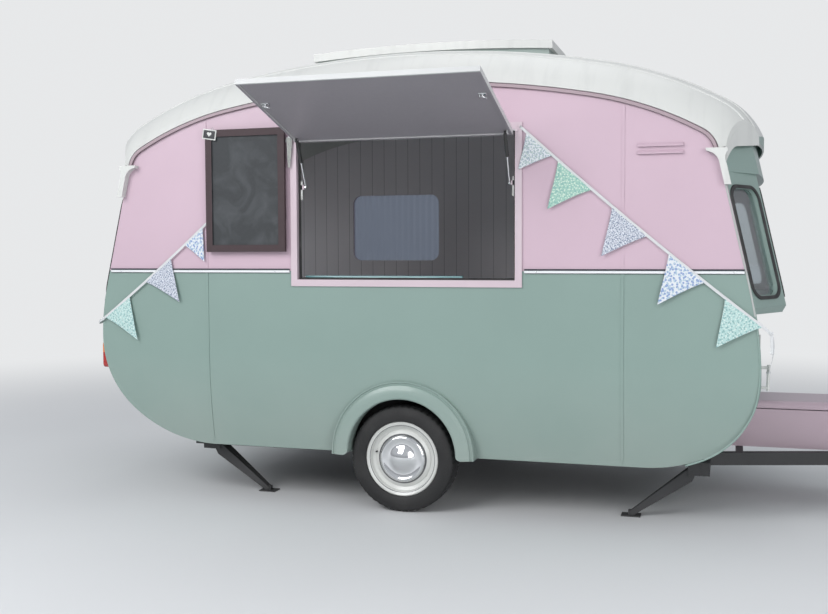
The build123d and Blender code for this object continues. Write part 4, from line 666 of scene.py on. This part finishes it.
def carried(path, along, normals, profile):
    """Profile along a path: path + u times the side vector + v times the normal."""
    side = unit(np.cross(along, normals))
    up = np.cross(side, along)
    return path[:, None] + profile[None, :, :1] * side[:, None] + profile[None, :, 1:] * up[:, None]


def sweep(path, normals, profile):
    """Closed profile carried along a path, with flat ends."""
    path = np.asarray(path, float)
    points = carried(path, unit(np.gradient(path, axis=0)), np.broadcast_to(normals, path.shape), profile)
    rows, cols = points.shape[:2]
    faces = grid_faces(rows, cols, wrap_cols=True)
    faces += [list(range(cols)), list(range((rows - 1) * cols, rows * cols))]
    return points, faces


def flat_oval(half_width, half_depth, count=16, power=0.6):
    """Rounded strip: half width times the cosine and half depth times the sine, both to a power."""
    c, s = np.cos(circle(count)), np.sin(circle(count))
    wide, deep = np.sign(c) * abs(c) ** power, np.sign(s) * abs(s) ** power
    return np.stack([half_width * wide, half_depth * deep], -1)


def turned(profile, centre, steps):
    """Profile of (y, radius) turned about an axle: x, z = centre + radius times (sine, cosine)."""
    a = circle(steps)[:, None]
    y, r = profile[None, :, 0], profile[None, :, 1]
    points = np.stack([centre[0] + r * np.sin(a), y + 0 * a, centre[1] + r * np.cos(a)], -1)
    return points, grid_faces(steps, profile.shape[0], True, True)


def across(axis):
    """Two directions square to an axis and to each other."""
    first = unit(np.cross(axis, (0.31, 0.2, 0.93)))
    return first, np.cross(axis, first)


def ring(centre, axis, radius, half_width, half_depth):
    """Band round an axis: centre + radius times the circle, its section a rounded strip."""
    axis = np.asarray(axis, float)
    first, second = across(axis)
    a = circle(RING_STEPS)[:, None, None]
    section = flat_oval(half_width, half_depth)
    out = first * np.cos(a) + second * np.sin(a)
    points = np.asarray(centre) + out * (radius + section[None, :, 1:]) + axis * section[None, :, :1]
    return points, grid_faces(RING_STEPS, len(section), True, True)


def rod(a, b, radius, count=20):
    """Rod from a to b with eased ends: its radius rises and falls steeply at them."""
    a, b = np.asarray(a, float), np.asarray(b, float)
    reach = np.linalg.norm(b - a)
    ease = min(0.3 * radius / reach, 0.2)
    t = np.array([0.0, 0.0, ease, 0.5, 1 - ease, 1.0, 1.0])[:, None, None]
    size = np.array([0.0, 0.7, 1.0, 1.0, 1.0, 0.7, 0.0])[:, None, None] * radius
    first, second = across((b - a) / reach)
    turn = circle(count)[None, :, None]
    points = a + t * (b - a) + size * (first * np.cos(turn) + second * np.sin(turn))
    return points, grid_faces(7, count, wrap_cols=True)


def slab(low, high, ease=0.0015):
    """Rounded block: a rounded rectangle in X and Z carried through Y, drawn in at its faces."""
    low, high = np.asarray(low, float), np.asarray(high, float)
    a = circle(SLAB_STEPS) + np.pi / SLAB_STEPS
    c, s = np.cos(a), np.sin(a)
    middle, half = (low + high) / 2, (high - low) / 2
    depth = np.array([-1.0, -1.0, -1.0, 1.0, 1.0, 1.0])[:, None] * half[1]
    draw = np.array([1e3, 1.0, 0.0, 0.0, 1.0, 1e3])[:, None] * ease
    depth[2] += ease
    depth[3] -= ease
    x = np.sign(c) * np.maximum(half[0] - draw - ease * (1 - abs(c) ** 0.4), 0)
    z = np.sign(s) * np.maximum(half[2] - draw - ease * (1 - abs(s) ** 0.4), 0)
    points = np.stack([middle[0] + x, middle[1] + depth + 0 * c, middle[2] + z], -1)
    return points, grid_faces(6, SLAB_STEPS, wrap_cols=True)


def joined(parts):
    """Several shapes as one list of points and faces."""
    points, faces, count = [], [], 0
    for some, quads in parts:
        some = np.asarray(some).reshape(-1, 3)
        points.append(some)
        faces += [[v + count for v in face] for face in quads]
        count += len(some)
    return np.vstack(points), faces


# Bunting: tape from a peg to the corner, round it to the handle, with cloth flags

ROUTES = {
    "front": ((-2.3008, -1.014, 1.6453), (-2.1582, -1.014, 1.516), (-2.0091, -1.014, 1.3835),
              (-1.8585, -1.014, 1.2526), (-1.7067, -1.014, 1.1232), (-1.5535, -1.014, 0.9953),
              (-1.3991, -1.014, 0.8691), (-1.2433, -1.014, 0.7444), (-1.1413, -1.014, 0.6644),
              (-1.0859, -1.014, 0.6219), (-1.0779, -1.007, 0.5729), (-1.0749, -0.989, 0.5249),
              (-1.0809, -0.964, 0.4749), (-1.0941, -0.9395, 0.425)),
    "rear": ((-3.5571, -1.014, 1.6452), (-3.6937, -1.014, 1.5155), (-3.8375, -1.014, 1.3831),
             (-3.9832, -1.014, 1.253), (-4.1309, -1.014, 1.125), (-4.2804, -1.014, 0.9993),
             (-4.4319, -1.014, 0.8758), (-4.5852, -1.014, 0.7546), (-4.686, -1.014, 0.6774),
             (-4.7409, -1.014, 0.6366), (-4.7799, -1.005, 0.6166), (-4.7909, -0.975, 0.6086),
             (-4.7885, -0.9395, 0.615)),
}
TAIL_ROUTE = ((-1.0859, -1.014, 0.6219), (-1.0819, -1.018, 0.5739), (-1.0839, -1.021, 0.5219))
# the point where the tape starts round the body's corner, and the depth that the turn takes
CORNER_POINT = 9
CORNER_DEPTH = 0.040
# how far out the tape and its cloth hang beside the wall
STRING_Y = -1.014
CLOTH_Y = -1.0145
# pegs as (x, z); loops round them and round the handles: radius, half width, half thickness
PEGS = {"front": (-2.306, 1.650), "rear": (-3.552, 1.650)}
PEG_LOOP = (0.0055, 0.0035, 0.0012)
HANDLE_LOOP = (0.0097, 0.0045, 0.0012)
HANDLE_Y = -0.928
TAPE_HALF = 0.007
TAPE_HALF_THICK = 0.0011
# flags: start along the string, base, height, print, curl, swing of the tip
FLAGS = {
    "front": ((0.050, 0.180, 0.160, "sprig_grey", 0.6, 0.0), (0.266, 0.228, 0.208, "leaf_mint", 1.0, 0.0),
              (0.624, 0.226, 0.214, "speckle", 0.7, 0.0), (0.982, 0.224, 0.220, "sprig_blue", 0.9, 0.0),
              (1.324, 0.224, 0.206, "leaf_aqua", 0.8, 0.0)),
    "rear": ((0.288, 0.222, 0.212, "leaf_mint", 0.7, 0.0), (0.734, 0.151, 0.146, "sprig_blue", 0.6, 0.035),
             (1.000, 0.212, 0.218, "speckle", 0.8, 0.0), (1.345, 0.205, 0.222, "leaf_aqua", 1.0, 0.0)),
}
# limp flag: middle of its top, half width, cloth's height, drop, pleats and their depth
LIMP_TOP = (-3.5605, -1.0205, 1.6380)
LIMP_HALF = 0.016
LIMP_HEIGHT = 0.17
LIMP_DROP = 0.166
PLEATS = 2.5
PLEAT_DEPTH = 0.0065


def route_points(control):
    """Points on the NURBS curve that has the route's points as its control points."""
    data = bpy.data.curves.new("route", "CURVE")
    data.dimensions = "3D"
    data.resolution_u = 10
    spline = data.splines.new("NURBS")
    spline.points.add(len(control) - 1)
    for point, place in zip(spline.points, control):
        point.co = (*place, 1.0)
    spline.order_u = 3
    spline.use_endpoint_u = True
    holder = bpy.data.objects.new("route", data)
    mesh = bpy.data.meshes.new_from_object(holder)
    line = np.empty(3 * len(mesh.vertices))
    mesh.vertices.foreach_get("co", line)
    bpy.data.objects.remove(holder)
    bpy.data.curves.remove(data)
    bpy.data.meshes.remove(mesh)
    return line.reshape(-1, 3)


def tape(name, control, way):
    """Flat tape on its route, facing out from the wall and round the corner out from the end wall."""
    line = route_points(control)
    round_corner = np.clip((line[:, 1:2] - STRING_Y) / CORNER_DEPTH, 0, 1)
    normals = (1 - round_corner) * (0, -1, 0) + round_corner * (way, -0.15, 0)
    shape = sweep(line, normals, flat_oval(TAPE_HALF, TAPE_HALF_THICK))
    return piece(name, *shape, "tape", "bunting_tape"), line


def knot(name, place, size):
    """Overhand knot: a tube on a trefoil, x = sin t + 2 sin 2t, z = cos t - 2 cos 2t, y = -sin 3t."""
    t = circle(KNOT_STEPS)
    line = np.stack([np.sin(t) + 2 * np.sin(2 * t), -0.8 * np.sin(3 * t), np.cos(t) - 2 * np.cos(2 * t)], -1)
    line = np.asarray(place) + line * size / 3.4
    along = unit(np.roll(line, -1, 0) - np.roll(line, 1, 0))
    points = carried(line, along, (0.05, -1.0, 0.02), flat_oval(0.0034, 0.0022, STRIP_STEPS, 0.9))
    return piece(name, points, grid_faces(KNOT_STEPS, STRIP_STEPS, True, True), "tape", "bunting_tape")


def flag(name, end, line, start, base, height, finish, curl, swing):
    """Cloth triangle under the tape: base point + along times a width that narrows to the tip + down times
    the height, swung aside towards the tip, with waves in depth that grow towards it."""
    steps = np.linalg.norm(np.diff(line, axis=0), axis=1)
    reach = np.concatenate([[0.0], np.cumsum(steps)])
    span = (start - TAPE_HALF, start + base - TAPE_HALF)
    ends = np.stack([np.interp(span, reach, line[:, k]) for k in (0, 2)], -1)
    along = unit(ends[1] - ends[0])
    down = ENDS[end] * np.array([along[1], -along[0]])
    s = np.linspace(-1, 1, 33)[None, :]
    t = np.linspace(0, 1, 33)[:, None]
    width = base / 2 * (1 - t) * (1 - 0.05 * curl * np.sin(np.pi * t))
    x_in, z_in = s * width, t * height + 0 * s
    sag = 0.012 * curl * t ** 2 + 0 * s
    plane = (ends.mean(axis=0) + (x_in + swing * t)[..., None] * along + z_in[..., None] * down
             - sag[..., None] * np.array([0.0, 1.0]))
    wave = (0.5 - 0.5 * np.cos(2.2 * np.pi * (0.5 * s * (1 - t) + 0.3 * curl) + 2.5 * t)) * (0.25 + 0.75 * t)
    edge = 0.35 * abs(s) ** 3 * t
    depth = CLOTH_Y - 0.0085 * curl * (wave + edge) * np.minimum(1, 6 * t)
    points = np.stack([plane[..., 0], depth, plane[..., 1]], -1)
    made = cloth(name, points, np.stack([x_in, z_in], -1), finish)
    return made


def limp_flag():
    """Flag folded on the rear peg: a strip whose depth waves in pleats that close towards its tip."""
    s = np.linspace(0, 1, 61)[None, :]
    t = np.linspace(0, 1, 41)[:, None]
    half = LIMP_HALF * (1 - 0.75 * t ** 1.5)
    x = LIMP_TOP[0] - 0.004 * t + (2 * s - 1) * half
    pleat = np.sin(2 * np.pi * PLEATS * s + 0.8 * t)
    y = LIMP_TOP[1] - PLEAT_DEPTH * (1 - 0.55 * t) * pleat - 0.003 * t
    z = LIMP_TOP[2] - LIMP_DROP * t - 0.006 * np.sin(np.pi * s) * (1 - t)
    cell = np.stack([x, y, z], -1)
    wide = line_length(cell[0])
    cloth_map = np.stack([wide * s + 0 * t, LIMP_HEIGHT * t + 0 * s], -1)
    made = cloth("bunting_flag_rear_peg", cell, cloth_map, "cream")


def make_bunting():
    """Tapes, knots, loops and flags of both strings."""
    for end, way in ENDS.items():
        cord, line = tape("bunting_tape_" + end, ROUTES[end], way)
        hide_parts("bunting_cord_" + end)
        corner, handle = ROUTES[end][CORNER_POINT], ROUTES[end][-1]
        peg_x, peg_z = PEGS[end]
        tied = knot("bunting_knot_" + end, (corner[0], corner[1] - 0.002, corner[2]), 0.0075)
        loop = piece("bunting_loop_" + end, *ring((peg_x, CLOTH_Y, peg_z), (0, 1, 0), *PEG_LOOP),
                     "tape", "bunting_tape")
        hold = piece("bunting_hold_" + end, *ring((handle[0], HANDLE_Y, handle[2]), (0, 0, 1), *HANDLE_LOOP),
                     "tape", "bunting_tape")
        for index, facts in enumerate(FLAGS[end]):
            made = flag("bunting_flag_%s_%d" % (end, index + 1), end, line, *facts)
            if index == 0:
                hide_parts("bunting_flags_" + end)
    tail, line = tape("bunting_tail_front", TAIL_ROUTE, 1)
    limp_flag()


# Wheels

# the wheel's outer face, across from the middle
WHEEL_OUT = 0.985
# tyre section: depth in from the outer face, radius
TYRE_SECTION = ((0.014, 0.2022), (0.0075, 0.2045), (0.0025, 0.214), (0.0, 0.238), (0.0035, 0.260),
                (0.010, 0.276), (0.021, 0.2845), (0.050, 0.2865), (0.0825, 0.287), (0.115, 0.2865),
                (0.144, 0.2845), (0.155, 0.276), (0.1615, 0.260), (0.165, 0.238), (0.1625, 0.214),
                (0.1575, 0.2045), (0.151, 0.2022), (0.120, 0.2022), (0.0825, 0.2022), (0.045, 0.2022))
TREAD_MIDDLE = 0.0825
TREAD_FROM_RADIUS = 0.279
TREAD_DEPTHS = (0.012, 0.153)
# grooves: distance from the tread's middle, half width, depth
GROOVES = (0.016, 0.046)
GROOVE_HALF = 0.0032
GROOVE_DEPTH = 0.006
CROSS_CUTS = 48
CROSS_CUT_DEPTH = 0.0035
# hubcap section: depth out from the wheel's outer face, radius
CAP_SECTION = ((-0.0309, 0.126), (-0.026, 0.1262), (-0.021, 0.122), (-0.0172, 0.116), (-0.0166, 0.110),
               (-0.0195, 0.102), (-0.0218, 0.092), (-0.0228, 0.082), (-0.0215, 0.072), (-0.0185, 0.0645))
CAP_BALL_RADIUS = 0.109
CAP_BALL_HALF = 0.060
CAP_TOP = 0.002
CAP_SHEET = 0.0035
CAP_BORE = 0.1225
# valve's foot and tip: back from the axle, across from the middle, over the axle
VALVE_ENDS = ((0.146, 0.936, 0.030), (0.149, 0.962, 0.031))
VALVE_RADIUS = 0.0042


def tyre(side):
    """Tyre turned from a rounded section, its tread cut by four grooves and short cross cuts."""
    section = smooth_line(TYRE_SECTION, per=9, closed=True)
    depth, r = section[:, 0], section[:, 1].copy()
    off = np.abs(depth - TREAD_MIDDLE)
    tread = (r > TREAD_FROM_RADIUS) & (depth > TREAD_DEPTHS[0]) & (depth < TREAD_DEPTHS[1])
    groove = sum(np.exp(-((off - place) / GROOVE_HALF) ** 4) for place in GROOVES)
    section[:, 1] = r - np.where(tread, GROOVE_DEPTH * groove, 0.0)
    points, faces = turned(section, (AXLE_X, AXLE_Z), 6 * CROSS_CUTS)
    in_cut = np.arange(6 * CROSS_CUTS) % 6 < 2
    cut = in_cut[:, None] & (tread & (groove < 0.1) & (off > 0.020))[None, :]
    axle = np.array([AXLE_X, 0, AXLE_Z])
    shrink = 1 - np.where(cut, CROSS_CUT_DEPTH, 0.0)[..., None] / np.maximum(section[None, :, 1:], 0.1)
    points = axle + (points - axle) * np.where([True, False, True], shrink, 1.0)
    points[..., 1] = SIDES[side] * (WHEEL_OUT - points[..., 1])
    made = piece("tyre_rubber_" + side, points, faces, "tyre", "tyre", body="wheel_" + side)
    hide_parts("tyre_" + side)


def hubcap(side):
    """Chrome cap turned from a rolled rim, a dished ring and a ball's cap: top - R + sqrt(R^2 - r^2)."""
    r = np.linspace(CAP_BALL_HALF, 0.0, 14)
    dome = np.stack([CAP_TOP - CAP_BALL_RADIUS + np.sqrt(CAP_BALL_RADIUS ** 2 - r ** 2), r], -1)
    shell = np.vstack([smooth_line(CAP_SECTION, per=5), dome])
    inside = shell[::-1] - np.array([CAP_SHEET, 0.0])
    inside[:, 1] = np.minimum(inside[:, 1], CAP_BORE)
    points, faces = turned(np.vstack([shell, inside]), (AXLE_X, AXLE_Z), CAP_STEPS)
    points[..., 1] = SIDES[side] * (WHEEL_OUT + points[..., 1])
    made = piece("hubcap_chrome_" + side, points, faces, "chrome", "chrome", body="wheel_" + side)
    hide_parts("hubcap_" + side)


def valve(side):
    """Rubber valve stem through the wheel, leaning out."""
    ends = [(AXLE_X - back, SIDES[side] * out, AXLE_Z + over) for back, out, over in VALVE_ENDS]
    piece("valve_" + side, *rod(*ends, VALVE_RADIUS), "rubber", "black_rubber", body="wheel_" + side)


# Hatch

# catches on the closed flap: their x, the lining's face and their height
CATCHES = {"rear": -3.477, "front": -2.381}
LINING_Y = -0.985
CATCH_Z = 1.125
# seal section: in from the opening's edge, depth from the seal's middle
SEAL_SECTION = ((0.0, -0.006), (0.008, -0.006), (0.011, -0.002), (0.011, 0.004), (0.008, 0.007), (0.0, 0.007))
SEAL_Y = -0.9755
# strut bracket: heights, the jamb's outer and inner face, thickness, width and screws
BRACKET_LOW = 1.300
BRACKET_HIGH = 1.400
JAMB_OUT = -0.975
JAMB_IN = -0.940
BRACKET_THICK = 0.0035
BRACKET_WIDE = 0.021
SCREW_RADIUS = 0.0035
# ledge along the counter's front, from one far corner to the other
LEDGE = ((-3.505, -0.952, 0.8505), (-2.620, -0.925, 0.8880))


def open_flap(points):
    """Points of the closed flap turned up about the hinge to where it stands open."""
    x, y, z = np.asarray(points, float).reshape(-1, 3).T
    y, z = turned_pair(y - HINGE[0], z - HINGE[1], -FLAP_OPEN)
    return np.stack([x, HINGE[0] + y, HINGE[1] + z], -1)


def flap_catch(end):
    """Catch on the flap's lining: a base plate, a post, a turned tongue and a pin."""
    at = np.array([CATCHES[end], LINING_Y, CATCH_Z])
    points, faces = joined([
        slab(at + (-0.021, -0.0030, -0.013), at + (0.021, 0.0004, 0.013)),
        rod(at + (0.0, -0.0005, 0.0), at + (0.0, 0.0120, 0.0), 0.005),
        rod(at + (-0.004, 0.0105, 0.0), at + (0.019, 0.0120, 0.016), 0.0034),
        rod(at + (-0.017, 0.0, 0.009), at + (-0.017, 0.0060, 0.025), 0.0026),
    ])
    piece("flap_catch_" + end, open_flap(points), faces, "chrome", "chrome", body="flap")


def hatch_seal():
    """Rubber seal behind the trim: a rounded strip round the opening, mitred at its corners."""
    section = np.array(SEAL_SECTION)
    u, v = section[None, :, 0], section[None, :, 1]
    corners = np.array([(HATCH_LOW[0], HATCH_LOW[1], 1, 1), (HATCH_HIGH[0], HATCH_LOW[1], -1, 1),
                        (HATCH_HIGH[0], HATCH_HIGH[1], -1, -1), (HATCH_LOW[0], HATCH_HIGH[1], 1, -1)])
    x, z, way_x, way_z = corners.T[:, :, None]
    points = np.stack([x + way_x * u, SEAL_Y + v + 0 * x, z + way_z * u], -1)
    piece("hatch_seal", points, grid_faces(4, 6, True, True), "rubber", "black_rubber", smooth=False)


def jamb_bracket(end, x, way):
    """White angle on the jamb beside the strut's foot: two plates and two screw heads."""
    low, high = sorted((x, x + way * BRACKET_THICK))
    face_low, face_high = sorted((x, x + way * BRACKET_WIDE))
    upper, lower = BRACKET_HIGH - 0.008, BRACKET_LOW + 0.047
    shape = joined([
        slab((low, JAMB_OUT + 0.003, BRACKET_LOW), (high, JAMB_IN, BRACKET_HIGH)),
        slab((face_low, JAMB_OUT, BRACKET_LOW), (face_high, JAMB_OUT + BRACKET_THICK, BRACKET_HIGH)),
        rod((x + way * 0.002, -0.962, upper), (x + way * 0.012, -0.962, upper), SCREW_RADIUS),
        rod((x + way * 0.002, -0.973, lower), (x + way * 0.007, -0.973, lower), SCREW_RADIUS),
    ])
    piece("jamb_bracket_" + end, *shape, "white", "white_paint")


def counter_ledge():
    """Raised teal strip along the counter's front edge, in view over the sill."""
    piece("counter_ledge", *slab(*LEDGE, 0.002), "teal", "counter_wood")


# Body trim

# the side wall's front edge from its foot up: forward of the axle, above the ground
EDGE_LINE = ((1.4785, 0.340), (1.5795, 0.380), (1.6697, 0.440), (1.7422, 0.520), (1.8015, 0.640),
             (1.8216, 0.800), (1.8079, 1.000), (1.7724, 1.200), (1.7258, 1.400), (1.6793, 1.600),
             (1.6327, 1.800))
# moulding: how far behind that edge it runs, how far out, half its width and height
EDGE_INSET = 0.0065
MOULDING_Y = 1.0012
MOULDING_HALVES = (0.0045, 0.0022)
# roof's corner: its start over the right front spout, the way along it in plan and the way it faces
CORNER_START = (-1.3046, -0.990)
CORNER_WAY = (0.4751, 0.8800)
CORNER_FACE = (0.880, -0.475)
# its upper edge under the roof's arch: along it, height
CORNER_TOP = ((0.000, 1.520), (0.020, 1.540), (0.050, 1.566), (0.085, 1.594), (0.130, 1.620),
              (0.165, 1.630), (0.200, 1.628), (0.240, 1.612), (0.280, 1.590), (0.310, 1.577), (0.329, 1.568))
CORNER_LONG = 0.329
CORNER_STEPS = 60
# its foot: height at the start, rise to its end, and the dip to the spout with its length
FOOT_Z = 1.5165
FOOT_RISE = 0.026
SPOUT_DIP = 0.076
SPOUT_DIP_LONG = 0.115
# its back and front face, along the way that it faces
CORNER_BACK = -0.004
CORNER_FRONT = 0.0012
# rows of screws along the belt rails, from one x to the other
SCREW_ROWS = {"right": ((-4.62, -3.66), (-2.22, -1.26)), "left": ((-4.62, -2.60), (-1.72, -1.26))}
SCREW_STEP = 0.40
# a head's foot and top across from the middle, its radius, and its drop under the belt's line
HEAD_Y = (1.0080, 1.0102)
HEAD_RADIUS = 0.0034
HEAD_DROP = 0.003
# tag: middle, lean, half its width and height, its pale border, the heart's size and the wire's line
TAG_MIDDLE = (-4.030, -1.0435, 1.664)
TAG_TURN = math.radians(-9.0)
TAG_HALF = (0.041, 0.028)
TAG_BORDER = 0.006
HEART_SIZE = 0.00085
TAG_WIRE = ((0.020, -0.002, 0.020), (0.024, -0.005, 0.032), (0.016, -0.004, 0.040), (0.010, -0.002, 0.032),
            (0.014, -0.003, 0.022))


def edge_moulding(side):
    """Moulding along the side wall's curved front: a rounded strip carried along the edge line."""
    line = np.array(EDGE_LINE)
    path = np.stack([AXLE_X + line[:, 0] - EDGE_INSET, 0 * line[:, 0] + SIDES[side] * MOULDING_Y,
                     GROUND + line[:, 1]], -1)
    shape = sweep(smooth_line(path, per=6), (0, SIDES[side], 0), flat_oval(*MOULDING_HALVES))
    piece("edge_moulding_front_" + side, *shape, "moulding", "white_paint")


def roof_corner(end, side):
    """Sheet that closes the roof's end over the bay's corner, from the roof's arch down to a straight foot
    that dips to the spout: dip times (1 - s / length) to the power of 2.2."""
    s = np.linspace(0.0, CORNER_LONG, CORNER_STEPS)
    high = np.interp(s, *np.array(CORNER_TOP).T)
    dip = SPOUT_DIP * np.clip(1 - s / SPOUT_DIP_LONG, 0, 1) ** 2.2
    foot = FOOT_Z + FOOT_RISE * s / CORNER_LONG - dip
    rows = []
    for out, level in ((CORNER_BACK, foot), (CORNER_BACK, high), (CORNER_FRONT, high), (CORNER_FRONT, foot)):
        x, y = (CORNER_START[k] + CORNER_WAY[k] * s + CORNER_FACE[k] * out for k in (0, 1))
        rows.append(np.stack([x, y, level], -1))
    points = np.stack(rows, 1)
    if end == "rear":
        points[..., 0] = 2 * AXLE_X - points[..., 0]
    points[..., 1] *= -SIDES[side]
    last = 4 * CORNER_STEPS
    faces = grid_faces(CORNER_STEPS, 4, wrap_cols=True) + [[0, 1, 2, 3], list(range(last - 4, last))]
    piece("roof_corner_%s_%s" % (end, side), points, faces, "roof", "roof_paint", smooth=False)


def belt_screws():
    """Round screw heads spaced along the belt rails: short rods in a row."""
    heads = []
    for side, spans in SCREW_ROWS.items():
        for low, high in spans:
            for x in np.linspace(low, high, max(2, round((high - low) / SCREW_STEP))):
                ends = [(x, SIDES[side] * y, BELT_Z - HEAD_DROP) for y in HEAD_Y]
                heads.append(rod(*ends, HEAD_RADIUS, STRIP_STEPS))
    piece("belt_screws", *joined(heads), "chrome", "chrome")


def on_tag(points):
    """Points of the tag lying square, turned askew and moved to its place."""
    x, y, z = np.asarray(points, float).reshape(-1, 3).T
    x, z = turned_pair(x, z, TAG_TURN)
    return TAG_MIDDLE + np.stack([x, y, z], -1)


def board_tag():
    """Small dark card with a pale edge, hung askew at the board's corner, with a heart on it: x = 16 sin t
    cubed, z = 13 cos t - 5 cos 2t - 2 cos 3t - cos 4t."""
    wide, high = TAG_HALF
    rim, rim_faces = slab((-wide, -0.0010, -high), (wide, 0.0012, high))
    wide, high = wide - TAG_BORDER, high - TAG_BORDER
    face, face_faces = slab((-wide, -0.0018, -high), (wide, 0.0, high))
    piece("board_tag_rim", on_tag(rim), rim_faces, "white", "white_paint")
    piece("board_tag", on_tag(face), face_faces, "slate", "board")
    a = circle(HEART_STEPS)
    z = 13 * np.cos(a) - 5 * np.cos(2 * a) - 2 * np.cos(3 * a) - np.cos(4 * a) + 2
    heart = np.stack([16 * np.sin(a) ** 3, 0 * a, z], -1) * HEART_SIZE
    points = np.stack([0 * heart + (0, -0.0026, 0), heart + (0, -0.0024, 0), heart + (0, -0.0010, 0)], 0)
    faces = grid_faces(3, HEART_STEPS, wrap_cols=True) + [list(range(2 * HEART_STEPS, 3 * HEART_STEPS))]
    piece("board_tag_heart", on_tag(points), faces, "white", "white_paint", smooth=False)
    points, faces = sweep(smooth_line(TAG_WIRE, per=6), (0, -1, 0), flat_oval(0.0009, 0.0009, 8, 1.0))
    piece("board_tag_wire", on_tag(points), faces, "zinc", "zinc")


def make_pieces():
    """Everything added to the solids."""
    make_bunting()
    for side in SIDES:
        tyre(side)
        hubcap(side)
        valve(side)
    hatch_seal()
    for end in CATCHES:
        flap_catch(end)
    jamb_bracket("rear", HATCH_LOW[0], 1)
    jamb_bracket("front", HATCH_HIGH[0], -1)
    for side in SIDES:
        edge_moulding(side)
    for end in ENDS:
        for side in SIDES:
            roof_corner(end, side)
    counter_ledge()
    belt_screws()
    board_tag()


make_pieces()


# Floor, world and lamps

BACKDROP = (0.80, 0.81, 0.82, 1)
FLOOR_DARK = (0.66, 0.67, 0.68, 1)
FLOOR_PALE = (0.69, 0.70, 0.71, 1)
# sky: place on its ramp from low to high, colour
SKY = ((0.42, (0.40, 0.41, 0.43, 1)), (0.62, (0.84, 0.87, 0.92, 1)))
# lamp: place, aim, side of the square, watts
LAMPS = {
    "key": ((-6.0, -7.0, 4.6), (-2.9, -1.0, 0.7), 4.0, 350.0),
    "fill": ((1.8, -6.5, 2.2), (-2.6, -0.5, 0.8), 4.0, 175.0),
    "top": ((-2.5, 2.0, 7.5), (-2.9, 0.0, 0.8), 5.0, 95.0),
}


def make_floor():
    """Pale floor that keeps the shadow and fades into the background."""
    look = Finish("floor")
    place = look.place()
    look.surface(Base_Color=look.mix(look.noise(place, 0.8), FLOOR_DARK, FLOOR_PALE), Roughness=0.8)
    length = look.put("VectorMath", {0: place}, operation="LENGTH").outputs["Value"]
    fade = look.span(length, 0.0, 1.0, 3.2, 9.0, interpolation_type="SMOOTHSTEP")
    far = look.times(fade, look.put("LightPath").outputs["Is Camera Ray"])
    glow = look.put("Emission", {"Color": BACKDROP}).outputs[0]
    blend = look.put("MixShader", {0: far, 1: look.shader.outputs[0], 2: glow})
    look.feed(look.sink.inputs["Surface"], blend.outputs[0])
    bpy.ops.mesh.primitive_plane_add(size=160.0, location=(AXLE_X, 0.0, GROUND))
    floor = bpy.context.object
    floor.name = "floor"
    floor.data.materials.append(look.made)


def make_world():
    """Soft light from a grey to pale sky, with a plain background for the camera."""
    world = bpy.data.worlds.new("world")
    bpy.context.scene.world = world
    world.use_nodes = True
    nodes = Nodes(world.node_tree)
    nodes.tree.nodes.clear()
    way = nodes.put("TexCoord").outputs["Generated"]
    rise = nodes.put("SeparateXYZ", {0: way}).outputs["Z"]
    ramp = nodes.put("ValToRGB", {"Fac": nodes.span(rise, 0.0, 1.0, -1.0, 1.0)})
    for element, (position, color) in zip(ramp.color_ramp.elements, SKY):
        element.position = position
        element.color = color
    sky = nodes.put("Background", {"Color": ramp.outputs["Color"], "Strength": 0.62})
    behind = nodes.put("Background", {"Color": BACKDROP})
    seen = nodes.put("LightPath").outputs["Is Camera Ray"]
    pick = nodes.put("MixShader", {0: seen, 1: sky.outputs[0], 2: behind.outputs[0]})
    nodes.put("OutputWorld", {"Surface": pick.outputs[0]})


def lamp(name, place, aim, size, power):
    """Square area lamp at a place, aimed at a point."""
    data = bpy.data.lights.new(name, "AREA")
    data.shape = "SQUARE"
    data.size = size
    data.energy = power
    made = bpy.data.objects.new(name, data)
    direction = Vector(aim) - Vector(place)
    made.rotation_euler = direction.to_track_quat("-Z", "Y").to_euler()
    made.location = place
    bpy.context.scene.collection.objects.link(made)


make_floor()
make_world()
for lamp_name, lamp_facts in LAMPS.items():
    lamp(lamp_name, *lamp_facts)
bpy.context.scene.view_settings.view_transform = "Standard"
